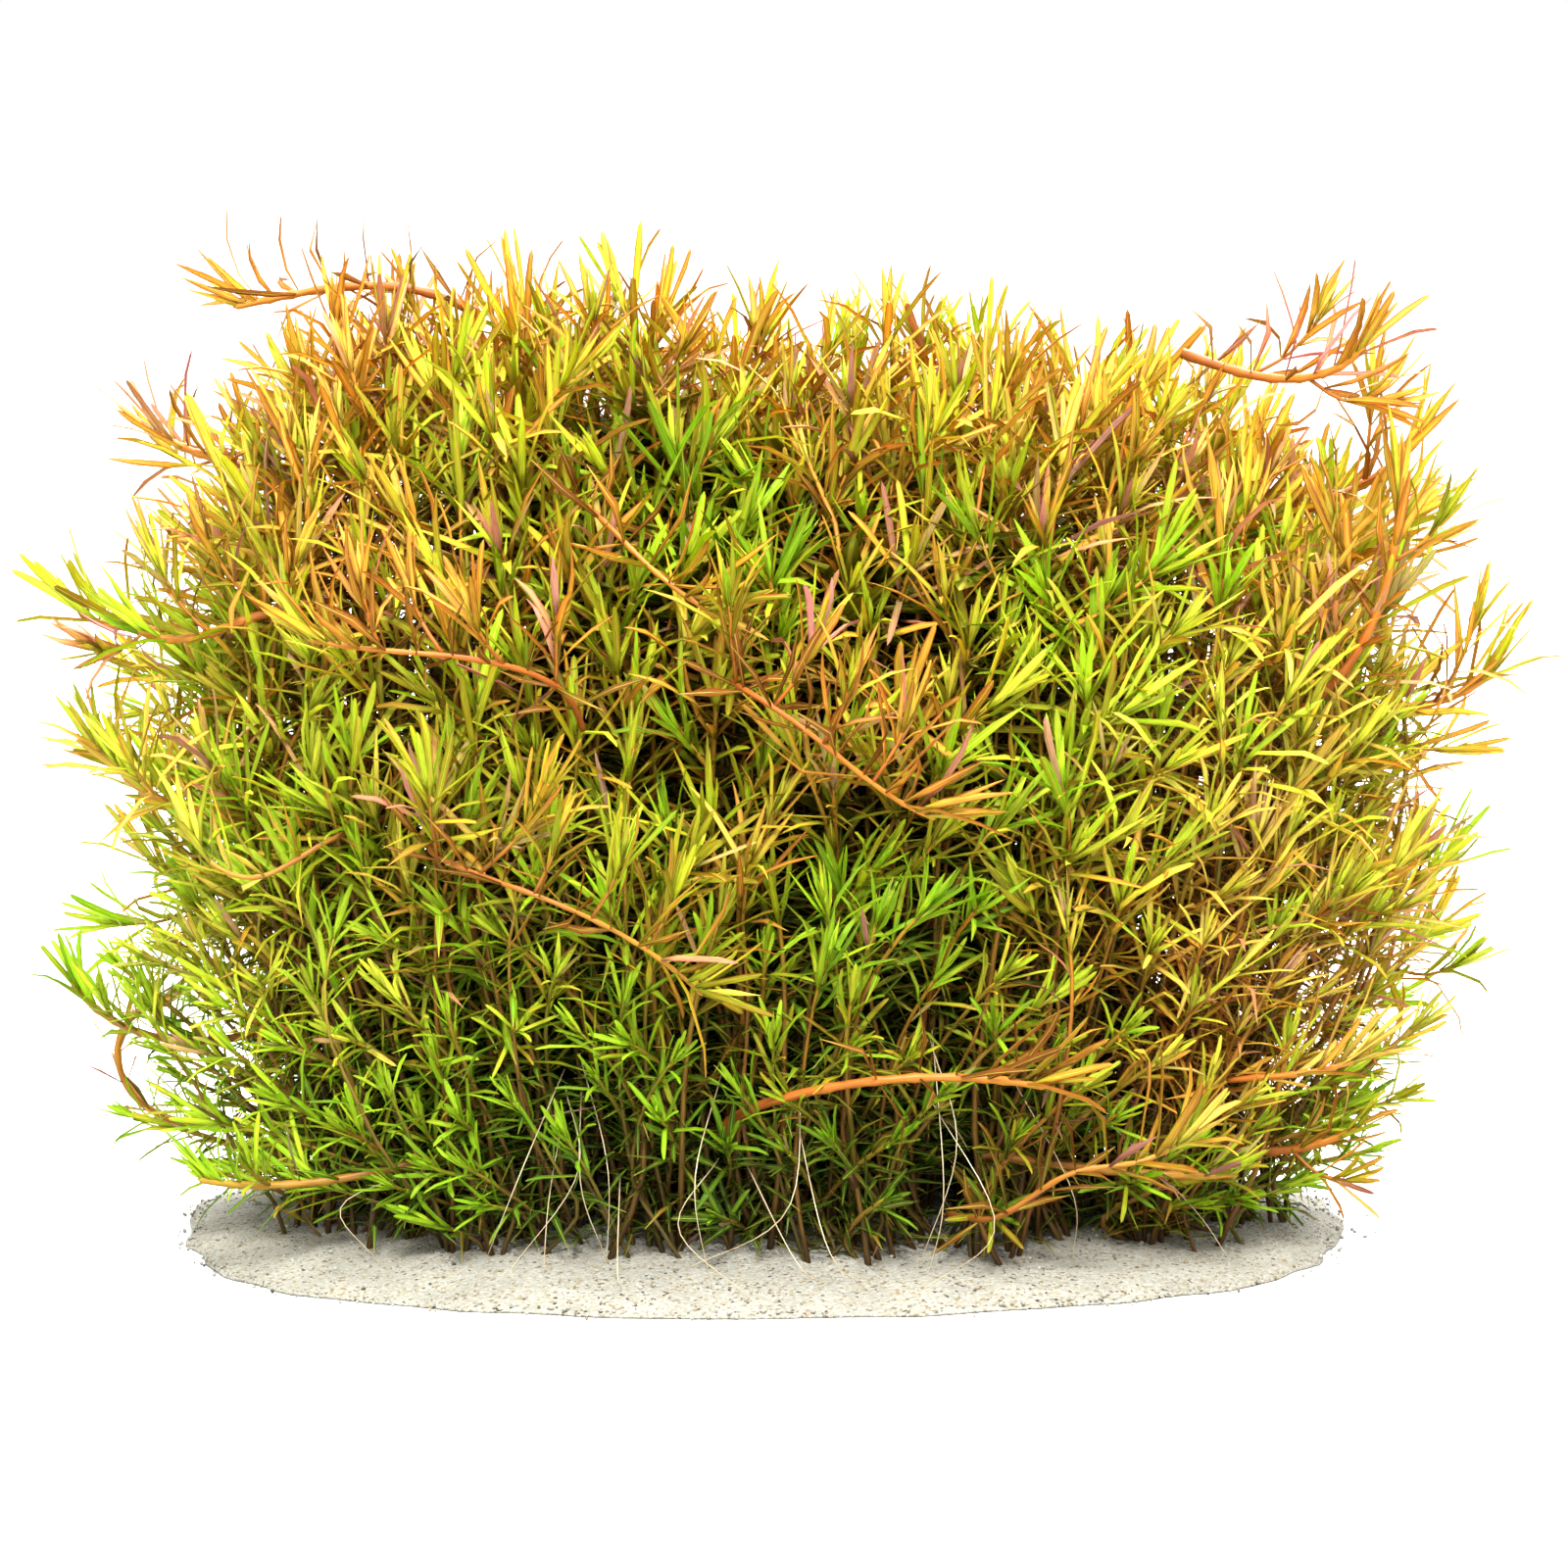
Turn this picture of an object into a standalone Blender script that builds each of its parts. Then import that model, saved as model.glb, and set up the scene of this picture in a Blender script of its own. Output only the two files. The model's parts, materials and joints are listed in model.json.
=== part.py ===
import math
import random

import bmesh
import bpy
from mathutils import Matrix, Vector
from mathutils.bvhtree import BVHTree

# Everything is in metres, with +Z up and the underside of the sand at Z = 0.
OBJECT_NAME = "rotala_stand"
SEED = 11
GAP = 0.0003

# The sand is a low mound with a squarish outline.
SAND_HALF_WIDTH = 0.104
SAND_HALF_DEPTH = 0.071
SAND_CENTRE_X = -0.003
SAND_HEIGHT = 0.0085
SAND_LIP = 0.0012
SAND_SQUARENESS = 2.4
SAND_SIDES = 30
SAND_SHARES = (0.94, 0.80, 0.60, 0.34)

# The rooted plants stand evenly spaced in an ellipse of the sand.
PLANT_COUNT = 33
STAND_HALF_WIDTH = 0.085
STAND_HALF_DEPTH = 0.045
STAND_HEIGHT = 0.174
FRONT_DROP = 0.45
BACK_DROP = 0.30
LEFT_DROP = 0.08
RIGHT_DROP = 0.14
SPREAD_WIDTH = 0.14
SPREAD_DEPTH = 0.17
SPREAD_ARC = 2.136
SKIRT_SPREAD = 0.08
SKIRT_HEIGHT = 0.100
SPREAD_FROM = 0.0105
LEAN_RIGHT = 0.006
GOLDEN_ANGLE = math.radians(137.508)
EASING_ROUNDS = 160
EASING_REACH = 0.0218
EASING_STEP = 0.12

# A plant has six sides, so that each whorl has three leaves over three hollows.
SIDES = 6
STEM_RADIUS = 0.0011
ROOT_DEPTH = 0.0045
SAND_UNDER_ROOT = 0.0012
BARE_FOOT = 0.005
WHORL_SPACING = 0.0185
WAIST_SHARE = 0.36
HOLLOW_SHARE = 0.50
TIP_LIFT = 0.92
HOLLOW_LIFT = 0.55
LOW_LEAF_SHARE = 0.72
SHADED_INSIDE = 0.72
SHADED_SHARE = 0.42

# Whorls on a shoot that leaves the stand, and how far its leaves turn up to the light.
SIDE_SPACING = 0.0135
SIDE_REACH = 0.0085
FRONT_REACH = 0.0055
FRONT_BARE = 0.022
SIDE_FORWARD = 0.0100
SIDE_HOLLOW = 0.0019
SIDE_UPTURN = 0.0045
SIDE_BARE = 0.009

# One shoot each: the plant it leaves, the whorl over which it forks, its bearing and how far
# that turns on the way, its pitch at the fork, half way and at the tip, and its length.
SHOOTS = {
    "left_shoot_01": ("plant_10", 8, 180, 0, 25, -5, -12, 0.040),
    "left_shoot_02": ("plant_31", 6, 178, 0, 20, 16, 40, 0.022),
    "left_shoot_03": ("plant_18", 5, 182, 0, -22, -14, 30, 0.042),
    "left_shoot_04": ("plant_26", 5, 184, 0, -12, -16, 30, 0.024),
    "left_shoot_05": ("plant_31", 4, 174, 0, 10, 0, 8, 0.022),
    "left_shoot_06": ("plant_18", 3, 180, 0, 0, 6, 38, 0.036),
    "left_shoot_07": ("plant_26", 3, 182, 0, 5, 15, 42, 0.024),
    "left_shoot_08": ("plant_31", 2, 178, 0, 0, 15, 40, 0.021),
    "left_shoot_09": ("plant_18", 1, 182, 0, -24, 2, 58, 0.049),
    "left_shoot_10": ("plant_31", 0, 176, 0, -18, 26, 190, 0.060),
    "left_shoot_11": ("plant_21", 0, 192, 0, -12, -6, 14, 0.046),
    "right_shoot_01": ("plant_14", 7, -28, 0, -16, 4, 48, 0.030),
    "right_shoot_02": ("plant_22", 6, 0, 0, 22, 34, 50, 0.018),
    "right_shoot_03": ("plant_30", 5, 4, 0, 26, 30, 36, 0.030),
    "right_shoot_04": ("plant_27", 4, 2, 0, 36, 70, 88, 0.042),
    "right_shoot_05": ("plant_22", 4, 0, 0, 2, 12, 42, 0.030),
    "right_shoot_06": ("plant_22", 2, 2, 0, 8, 22, 44, 0.026),
    "right_shoot_07": ("plant_27", 2, -2, 0, 20, 30, 50, 0.022),
    "right_shoot_08": ("plant_30", 1, 2, 0, -8, 22, 62, 0.042),
    "right_shoot_09": ("plant_22", 0, -2, 0, -6, 8, 22, 0.020),
    "right_shoot_10": ("plant_27", 0, -8, 0, -14, 10, 28, 0.024),
    "right_shoot_11": ("plant_32", 0, 2, 0, -8, -6, 2, 0.042),
    "front_shoot_01": ("plant_16", 0, -94, 98, 34, 10, -12, 0.067),
    "front_shoot_02": ("plant_29", 4, -110, -72, 50, 8, 14, 0.052),
    "front_shoot_03": ("plant_16", 4, -84, 87, 2, -38, -20, 0.046),
    "front_shoot_04": ("plant_21", 3, -100, 104, -6, -20, -46, 0.064),
}

SAND_COLOUR = (0.80, 0.75, 0.66, 1.0)
DEEP_GREEN = (0.10, 0.26, 0.03, 1.0)
LIME_GREEN = (0.36, 0.52, 0.03, 1.0)
BRONZE = (0.52, 0.25, 0.03, 1.0)


def clear_scene():
    for old in list(bpy.data.objects):
        bpy.data.objects.remove(old, do_unlink=True)


def new_collection(name):
    collection = bpy.data.collections.new(name)
    bpy.context.scene.collection.children.link(collection)
    return collection


def new_material(name, colour, roughness):
    material = bpy.data.materials.new(name)
    material.use_nodes = True
    shader = material.node_tree.nodes["Principled BSDF"]
    shader.inputs["Base Color"].default_value = colour
    shader.inputs["Roughness"].default_value = roughness
    return material


def blend(first, second, share):
    return tuple(a + (b - a) * share for a, b in zip(first, second))


def new_object(name, form, collection, colour, roughness):
    mesh = bpy.data.meshes.new(name)
    form.to_mesh(mesh)
    form.free()
    made = bpy.data.objects.new(name, mesh)
    collection.objects.link(made)
    mesh.materials.append(new_material(name + "_surface", colour, roughness))
    return made


def place(corners, ring):
    for corner, spot in zip(corners, ring):
        corner.co = spot


def follow(corners, ring):
    """The corners of a fresh extrusion, in the order of the ring they left."""
    return [min(corners, key=lambda c: (c.co - spot).length_squared) for spot in ring]


def loft(rings, point=None):
    """One closed form through rings that all have as many corners, drawn to a point if given."""
    form = bmesh.new()
    made = bmesh.ops.create_circle(form, cap_ends=True, radius=1.0, segments=len(rings[0]))
    place(made["verts"], rings[0])
    end = form.faces[:]
    for last, ring in zip(rings, rings[1:]):
        grown = bmesh.ops.extrude_face_region(form, geom=end)["geom"]
        if len(form.faces) > len(ring) + 2:
            bmesh.ops.delete(form, geom=end, context="FACES_ONLY")
        end = [part for part in grown if isinstance(part, bmesh.types.BMFace)]
        place(follow(end[0].verts, last), ring)
    if point:
        centre = bmesh.ops.poke(form, faces=end)["verts"][0]
        centre.co = point
    bmesh.ops.triangulate(form, faces=form.faces[:])
    bmesh.ops.recalc_face_normals(form, faces=form.faces[:])
    return form


def signed_power(value, power):
    return math.copysign(abs(value) ** power, value)


def sand_share(spot):
    """How far out a spot on the sand is, from 0 in the middle to 1 at the edge."""
    across = abs((spot.x - SAND_CENTRE_X) / SAND_HALF_WIDTH) ** SAND_SQUARENESS
    along = abs(spot.y / SAND_HALF_DEPTH) ** SAND_SQUARENESS
    return (across + along) ** (1 / SAND_SQUARENESS)


def mound(share):
    return SAND_LIP + (SAND_HEIGHT - SAND_LIP) * (1 - share ** 2.2)


def socket_floor(spot):
    return max(mound(sand_share(spot)) - ROOT_DEPTH, SAND_UNDER_ROOT)


def sand_ring(share, height):
    ring = []
    for side in range(SAND_SIDES):
        angle = math.tau * side / SAND_SIDES
        ripple = 1 + share * (0.014 * math.sin(3 * angle + 1) + 0.010 * math.sin(7 * angle))
        across = signed_power(math.cos(angle), 2 / SAND_SQUARENESS)
        along = signed_power(math.sin(angle), 2 / SAND_SQUARENESS)
        x = SAND_CENTRE_X + SAND_HALF_WIDTH * across * share * ripple
        ring.append(Vector((x, SAND_HALF_DEPTH * along * share * ripple, height)))
    return ring


def push_apart(spot, spots):
    """The sum of what nearby spots push this one away by."""
    push = Vector()
    for other in spots:
        away = spot - other
        if 0 < away.length < EASING_REACH:
            push += away.normalized() * (EASING_REACH - away.length)
    return push


def plant_spots():
    """Spots on a spiral, eased apart inside the ellipse until they are evenly spaced."""
    spots = []
    for number in range(PLANT_COUNT):
        out = math.sqrt((number + 0.5) / PLANT_COUNT)
        angle = number * GOLDEN_ANGLE
        x = STAND_HALF_WIDTH * out * math.cos(angle)
        spots.append(Vector((x, STAND_HALF_DEPTH * out * math.sin(angle), 0)))
    for _ in range(EASING_ROUNDS):
        pushes = [push_apart(spot, spots) for spot in spots]
        for spot, push in zip(spots, pushes):
            spot += push * EASING_STEP
            out = math.hypot(spot.x / STAND_HALF_WIDTH, spot.y / STAND_HALF_DEPTH)
            if out > 1:
                spot /= out
    return {f"plant_{number + 1:02d}": spot for number, spot in enumerate(spots)}


def free_radius(spot, spots):
    """Half the distance to the nearest neighbour, less half a gap."""
    return min((spot - other).length for other in spots if other is not spot) / 2 - GAP / 2


def stand_top(spot):
    side = spot.x / STAND_HALF_WIDTH
    depth = spot.y / STAND_HALF_DEPTH
    side_drop = (LEFT_DROP if side < 0 else RIGHT_DROP) * side ** 4
    drop = FRONT_DROP * abs(depth) ** 1.8 if depth < 0 else BACK_DROP * depth ** 2.5
    return STAND_HEIGHT * (1 - side_drop - drop)


def spread(point):
    """Moves a point outwards with its height, as the stand opens up above its bed."""
    height = max(0.0, point.z - SPREAD_FROM)
    rise = height / STAND_HEIGHT
    swell = math.sin(SPREAD_ARC * rise)
    skirt = SKIRT_SPREAD * math.sin(math.pi * min(1.0, height / SKIRT_HEIGHT))
    x = point.x * (1 + SPREAD_WIDTH * swell + skirt) + LEAN_RIGHT * rise ** 2
    return Vector((x, point.y * (1 + SPREAD_DEPTH * swell), point.z))


def whorl_steps(spot):
    """Where each whorl of a rooted plant starts, from the sand up, and their spacing."""
    first = mound(sand_share(spot)) + BARE_FOOT
    count = max(2, round((stand_top(spot) - first) / WHORL_SPACING))
    spacing = (stand_top(spot) - first) / count
    return [first + step * spacing for step in range(count)], spacing


def level_ring(spot, height, radius, turn):
    ring = []
    for side in range(SIDES):
        angle = turn + math.tau * side / SIDES
        ring.append(spot + Vector((radius * math.cos(angle), radius * math.sin(angle), height)))
    return ring


def alternate(tips, hollows, odd):
    return [tips[side] if side % 2 == odd else hollows[side] for side in range(SIDES)]


def host_turn(name, chance):
    """Turns a plant so that a hollow of its whorls faces the side shoots that leave it."""
    turn = chance.uniform(0, math.tau)
    for host, whorl, bearing, *_ in SHOOTS.values():
        if host == name:
            turn = math.radians(bearing - (0 if whorl % 2 else 360 / SIDES))
    return turn


def first_whorl(spot, starts):
    """Plants inside the stand have shed their lowest whorls, for want of light."""
    out = math.hypot(spot.x / STAND_HALF_WIDTH, spot.y / STAND_HALF_DEPTH)
    return round(len(starts) * SHADED_SHARE) if out < SHADED_INSIDE else 0


def rooted_plant(name, spots, chance):
    spot = spots[name]
    widest = free_radius(spot, list(spots.values()))
    turn = host_turn(name, chance)
    rings = [level_ring(spot, socket_floor(spot) + GAP, STEM_RADIUS, turn)]
    starts, spacing = whorl_steps(spot)
    lowest = first_whorl(spot, starts)
    if lowest:
        rings.append(level_ring(spot, starts[0], STEM_RADIUS, turn))
    for step, start in enumerate(starts):
        if step < lowest:
            continue
        growth = min(1.0, (step - lowest) / 3)
        reach = widest * (LOW_LEAF_SHARE + (1 - LOW_LEAF_SHARE) * growth)
        reach *= chance.uniform(0.9, 1.0)
        waist = STEM_RADIUS + (widest * WAIST_SHARE - STEM_RADIUS) * growth
        lift = TIP_LIFT * chance.uniform(0.9, 1.0)
        hollow = max(waist * 1.15, reach * HOLLOW_SHARE * growth)
        if step == len(starts) - 1:
            reach, lift = reach * 0.8, 1.0
        tips = level_ring(spot, start + spacing * lift, reach, turn)
        hollows = level_ring(spot, start + spacing * HOLLOW_LIFT, hollow, turn)
        rings.append(level_ring(spot, start, waist, turn))
        rings.append(alternate(tips, hollows, step % 2))
    heart = spot + Vector((0, 0, starts[-1] + spacing * 0.75))
    return loft([[spread(corner) for corner in ring] for ring in rings], spread(heart))


def pitch_at(share, pitches):
    """The pitch at a share of the length, on a curve through the three given."""
    fork, middle, tip = (math.radians(pitch) for pitch in pitches)
    return (
        fork * (1 - share) * (1 - 2 * share)
        + middle * 4 * share * (1 - share)
        + tip * share * (2 * share - 1)
    )


def bearing_at(share, bearing, turn):
    """Most of the turn comes soon after the fork."""
    return math.radians(bearing + turn * (1 - (1 - share) ** 3))


def heading(bearing, pitch):
    return Vector(
        (math.cos(pitch) * math.cos(bearing), math.cos(pitch) * math.sin(bearing), math.sin(pitch))
    )


def cross_ring(centre, ahead, bearing, radius, turn=0.0):
    """A ring square to the way ahead."""
    side = Vector((-math.sin(bearing), math.cos(bearing), 0))
    up = ahead.cross(side)
    ring = []
    for step in range(SIDES):
        angle = turn + math.tau * step / SIDES
        ring.append(centre + (side * math.cos(angle) + up * math.sin(angle)) * radius)
    return ring


def fork_point(host_form, axis, ahead, bearing):
    """The nearest place to the axis where a flat end clears the host all round."""
    tree = BVHTree.FromBMesh(host_form)
    far = axis + ahead * 0.05
    clear = 0.0
    for corner in cross_ring(far, ahead, bearing, STEM_RADIUS) + [far]:
        hit = tree.ray_cast(corner, -ahead)
        if hit[0]:
            clear = max(clear, 0.05 - hit[3])
    return axis + ahead * (clear + GAP)


def side_shoot(start, bearing, turn, pitches, length, reach, bare):
    side = bearing_at(0, bearing, turn)
    ahead = heading(side, pitch_at(0, pitches))
    rings = [cross_ring(start, ahead, side, STEM_RADIUS)]
    count = max(1, round((length - bare) / SIDE_SPACING)) + 1
    gaps = [bare] + [(length - bare) / (count - 1)] * (count - 1)
    centre, walked = start, 0.0
    for whorl, gap in enumerate(gaps):
        for _ in range(8):
            centre = centre + ahead * gap / 8
            walked += gap / 8
            side = bearing_at(walked / length, bearing, turn)
            ahead = heading(side, pitch_at(walked / length, pitches))
        rings.append(cross_ring(centre, ahead, side, STEM_RADIUS))
        lift = ahead * SIDE_FORWARD + Vector((0, 0, SIDE_UPTURN))
        tips = [tip + lift for tip in cross_ring(centre, ahead, side, reach)]
        hollows = cross_ring(centre + ahead * 0.003, ahead, side, SIDE_HOLLOW)
        rings.append(alternate(tips, hollows, whorl % 2))
        if whorl < count - 1:
            rings.append(cross_ring(centre + ahead * 0.0045, ahead, side, STEM_RADIUS))
    return loft(rings, centre + ahead * 0.006)


def sand_bed(spots, parts, cutters):
    rings = [sand_ring(1.0, 0.0), sand_ring(1.0, SAND_LIP)]
    rings += [sand_ring(share, mound(share)) for share in SAND_SHARES]
    bed = new_object("sand_bed", loft(rings), parts, SAND_COLOUR, 0.9)

    # Each rooted stem stands in a socket that clears it all round and underneath.
    sockets = bmesh.new()
    wide = (STEM_RADIUS + GAP) / math.cos(math.pi / SIDES)
    for spot in spots.values():
        middle = spot + Vector((0, 0, socket_floor(spot) + SAND_HEIGHT / 2))
        bmesh.ops.create_cone(
            sockets,
            cap_ends=True,
            segments=SIDES,
            radius1=wide,
            radius2=wide,
            depth=SAND_HEIGHT,
            matrix=Matrix.Translation(middle),
        )
    cutter = new_object("socket_cutter", sockets, cutters, SAND_COLOUR, 0.9)
    cutter.display_type = "WIRE"
    cutter.hide_render = True
    cut = bed.modifiers.new("sockets", "BOOLEAN")
    cut.operation = "DIFFERENCE"
    cut.solver = "EXACT"
    cut.object = cutter


def leaf_colour(height, chance):
    if height > 0.8 * STAND_HEIGHT:
        return blend(LIME_GREEN, BRONZE, chance.uniform(0.2, 0.9))
    return blend(DEEP_GREEN, LIME_GREEN, height / (0.8 * STAND_HEIGHT))


def main():
    clear_scene()
    chance = random.Random(SEED)
    parts = new_collection(OBJECT_NAME)
    cutters = new_collection("cutters")
    cutters.hide_render = True
    spots = plant_spots()
    sand_bed(spots, parts, cutters)

    forms = {name: rooted_plant(name, spots, chance) for name in spots}
    for name, (host, whorl, bearing, turn, *pitches, length) in SHOOTS.items():
        starts, spacing = whorl_steps(spots[host])
        axis = spread(spots[host] + Vector((0, 0, starts[whorl] + spacing * 0.6)))
        ahead = heading(math.radians(bearing), pitch_at(0, pitches))
        start = fork_point(forms[host], axis, ahead, math.radians(bearing))
        front = name.startswith("front")
        reach, bare = (FRONT_REACH, FRONT_BARE) if front else (SIDE_REACH, SIDE_BARE)
        shoot = side_shoot(start, bearing, turn, pitches, length, reach, bare)
        new_object(name, shoot, parts, leaf_colour(start.z, chance), 0.45)
    for name, form in forms.items():
        new_object(name, form, parts, leaf_colour(stand_top(spots[name]), chance), 0.45)


main()
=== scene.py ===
import json
import math

import bpy
import numpy as np
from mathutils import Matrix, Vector

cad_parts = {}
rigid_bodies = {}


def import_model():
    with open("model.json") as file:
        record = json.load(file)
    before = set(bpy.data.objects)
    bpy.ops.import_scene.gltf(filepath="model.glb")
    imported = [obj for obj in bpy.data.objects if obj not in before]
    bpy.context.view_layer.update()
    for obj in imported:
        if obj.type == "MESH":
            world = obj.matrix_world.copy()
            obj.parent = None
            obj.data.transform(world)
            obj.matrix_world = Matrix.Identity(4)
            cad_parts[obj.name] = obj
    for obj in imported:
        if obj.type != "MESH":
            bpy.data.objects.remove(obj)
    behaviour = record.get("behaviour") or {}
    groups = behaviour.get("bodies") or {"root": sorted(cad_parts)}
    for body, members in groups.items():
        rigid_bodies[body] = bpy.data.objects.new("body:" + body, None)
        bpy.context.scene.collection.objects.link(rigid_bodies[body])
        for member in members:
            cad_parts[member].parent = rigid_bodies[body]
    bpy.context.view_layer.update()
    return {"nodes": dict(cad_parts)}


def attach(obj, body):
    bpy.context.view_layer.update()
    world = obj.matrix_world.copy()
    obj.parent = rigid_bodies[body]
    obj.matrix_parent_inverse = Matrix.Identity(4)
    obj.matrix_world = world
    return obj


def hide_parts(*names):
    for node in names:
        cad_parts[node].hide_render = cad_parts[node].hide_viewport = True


for leftOver in list(bpy.data.objects):
    bpy.data.objects.remove(leftOver, do_unlink=True)
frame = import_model()
print("frame loaded:", len(frame["nodes"]), "nodes")

mm = 0.001
up = np.array((0.0, 0.0, 1.0))


# ---- camera, light and floor

studio = {
    "aim": (0.00175, 0.0, 0.081),
    "distance": 1.0,
    "elevation": 7.5,
    "lens": 128.57,
    "backdrop": 1.0,
    "horizonGlow": 0.95,
    "zenithGlow": 2.6,
    "floorRadius": 60.0,
    "floorColour": (0.94, 0.94, 0.94, 1.0),
    "floorGlow": 0.12,
    "floorBounce": (0.40, 0.40, 0.38, 1.0),
    # where each light stands, how wide it is and its watts
    "lights": {
        "key": ((0.02, -0.95, 1.25), 0.6, 49.0),
        "top": ((0.10, 0.10, 1.45), 0.9, 34.0),
        "back": ((0.25, 1.00, 0.95), 1.2, 42.0),
    },
}


def setStudio(s):
    tilt = math.radians(s["elevation"])
    aim = Vector(s["aim"])
    place = aim + Vector((0, -math.cos(tilt), math.sin(tilt))) * s["distance"]
    bpy.ops.object.camera_add(location=place, rotation=(math.pi / 2 - tilt, 0, 0))
    camera = bpy.context.object
    camera.data.lens = s["lens"]
    camera.data.sensor_width = 36
    camera.data.clip_start = 0.01
    bpy.context.scene.camera = camera

    world = bpy.data.worlds.new("studioWorld")
    bpy.context.scene.world = world
    world.use_nodes = True
    lightWorld(world.node_tree, s)
    bpy.context.scene.view_settings.view_transform = "Standard"
    bpy.context.scene.cycles.max_bounces = 4
    bpy.context.scene.cycles.transmission_bounces = 3
    bpy.context.scene.cycles.diffuse_bounces = 3

    for name, (where, size, watts) in s["lights"].items():
        bpy.ops.object.light_add(type="AREA", location=where)
        lamp = bpy.context.object
        lamp.name = name + "Light"
        lamp.data.shape = "DISK"
        lamp.data.size = size
        lamp.data.energy = watts
        lamp.rotation_euler = (aim - Vector(where)).to_track_quat("-Z", "Y").to_euler()

    bpy.ops.mesh.primitive_circle_add(
        vertices=64, radius=s["floorRadius"], fill_type="NGON", location=(0, 0, -0.0001)
    )
    floor = bpy.context.object
    floor.name = "studio_floor"
    floor.data.materials.append(makeFloorPaper(s))


# a soft dome that is brightest overhead, in front of a plain white backdrop
def lightWorld(tree, s):
    direction = addNode(tree, "ShaderNodeTexCoord").outputs["Generated"]
    height = addNode(tree, "ShaderNodeSeparateXYZ", Vector=direction).outputs["Z"]
    glow = between(tree, height, 0.0, 1.0, s["horizonGlow"], s["zenithGlow"])
    seen = addNode(tree, "ShaderNodeLightPath").outputs["Is Camera Ray"]
    strength = addNode(
        tree, "ShaderNodeMix", {"data_type": "FLOAT"}, i0=seen, i2=glow, i3=s["backdrop"]
    )
    tree.links.new(strength.outputs[0], tree.nodes["Background"].inputs["Strength"])
    tree.nodes["Background"].inputs["Color"].default_value = (1, 1, 1, 1)


def makeFloorPaper(s):
    paper, tree, shader = newMaterial("floorPaper")
    shader.inputs["Base Color"].default_value = s["floorColour"]
    shader.inputs["Roughness"].default_value = 0.9
    shader.inputs["Emission Color"].default_value = (1, 1, 1, 1)
    shader.inputs["Emission Strength"].default_value = s["floorGlow"]
    seen = addNode(tree, "ShaderNodeLightPath").outputs["Is Camera Ray"]
    dull = addNode(tree, "ShaderNodeBsdfDiffuse", Color=s["floorBounce"])
    mixed = addNode(tree, "ShaderNodeMixShader", Fac=seen)
    tree.links.new(dull.outputs[0], mixed.inputs[1])
    tree.links.new(shader.outputs[0], mixed.inputs[2])
    tree.links.new(mixed.outputs[0], tree.nodes["Material Output"].inputs["Surface"])
    return paper


# ---- material helpers


def addNode(tree, kind, settings=None, **inputs):
    node = tree.nodes.new(kind)
    for key, value in (settings or {}).items():
        setattr(node, key, value)
    for key, value in inputs.items():
        setInput(tree, node, key.replace("_", " "), value)
    return node


def setInput(tree, node, key, value):
    socket = node.inputs[int(key[1:])] if key[0] == "i" and key[1:].isdigit() else node.inputs[key]
    if isinstance(value, bpy.types.NodeSocket):
        tree.links.new(value, socket)
    else:
        socket.default_value = value


def calc(tree, operation, a, b=0.0, clamp=False):
    node = addNode(tree, "ShaderNodeMath", {"operation": operation, "use_clamp": clamp}, i0=a, i1=b)
    return node.outputs[0]


def blendColour(tree, share, a, b, kind="MIX"):
    node = addNode(
        tree, "ShaderNodeMix", {"data_type": "RGBA", "blend_type": kind}, i0=share, i6=a, i7=b
    )
    return node.outputs[2]


def rampOf(tree, value, stops, blending="LINEAR"):
    node = addNode(tree, "ShaderNodeValToRGB", Fac=value)
    ramp = node.color_ramp
    while len(ramp.elements) < len(stops):
        ramp.elements.new(0.5)
    for element, (place, colour) in zip(ramp.elements, stops):
        element.position = place
        element.color = (*colour, 1.0)
    ramp.interpolation = blending
    return node.outputs["Color"]


def between(tree, value, low, high, toLow=0.0, toHigh=1.0):
    node = addNode(
        tree,
        "ShaderNodeMapRange",
        {"interpolation_type": "SMOOTHSTEP"},
        Value=value,
        From_Min=low,
        From_Max=high,
        To_Min=toLow,
        To_Max=toHigh,
    )
    return node.outputs["Result"]


def readAttribute(tree, name):
    return addNode(tree, "ShaderNodeAttribute", {"attribute_name": name}).outputs["Fac"]


# a colour made darker or lighter by a value
def toned(tree, colour, value):
    grey = addNode(tree, "ShaderNodeCombineColor", Red=value, Green=value, Blue=value)
    return blendColour(tree, 1.0, colour, grey.outputs["Color"], "MULTIPLY")


# gives a shader its colour, its bump and the finish of its look, and gives back the bumped normal
def dress(tree, shader, look, colour, height):
    strength, distance = look["bump"]
    bump = addNode(tree, "ShaderNodeBump", Strength=strength, Distance=distance, Height=height)
    shader.inputs["Roughness"].default_value = look["roughness"]
    shader.inputs["Specular IOR Level"].default_value = look["gloss"]
    tree.links.new(colour, shader.inputs["Base Color"])
    tree.links.new(bump.outputs["Normal"], shader.inputs["Normal"])
    return bump.outputs["Normal"]


def newMaterial(name):
    material = bpy.data.materials.new(name)
    material.use_nodes = True
    tree = material.node_tree
    return material, tree, tree.nodes["Principled BSDF"]


def newGroup(name, inputs, outputs):
    group = bpy.data.node_groups.new(name, "ShaderNodeTree")
    for key, kind in inputs:
        group.interface.new_socket(key, in_out="INPUT", socket_type=kind)
    for key, kind in outputs:
        group.interface.new_socket(key, in_out="OUTPUT", socket_type=kind)
    return group, group.nodes.new("NodeGroupInput"), group.nodes.new("NodeGroupOutput")


def useGroup(tree, group, **inputs):
    return addNode(tree, "ShaderNodeGroup", {"node_tree": group}, **inputs)


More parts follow.
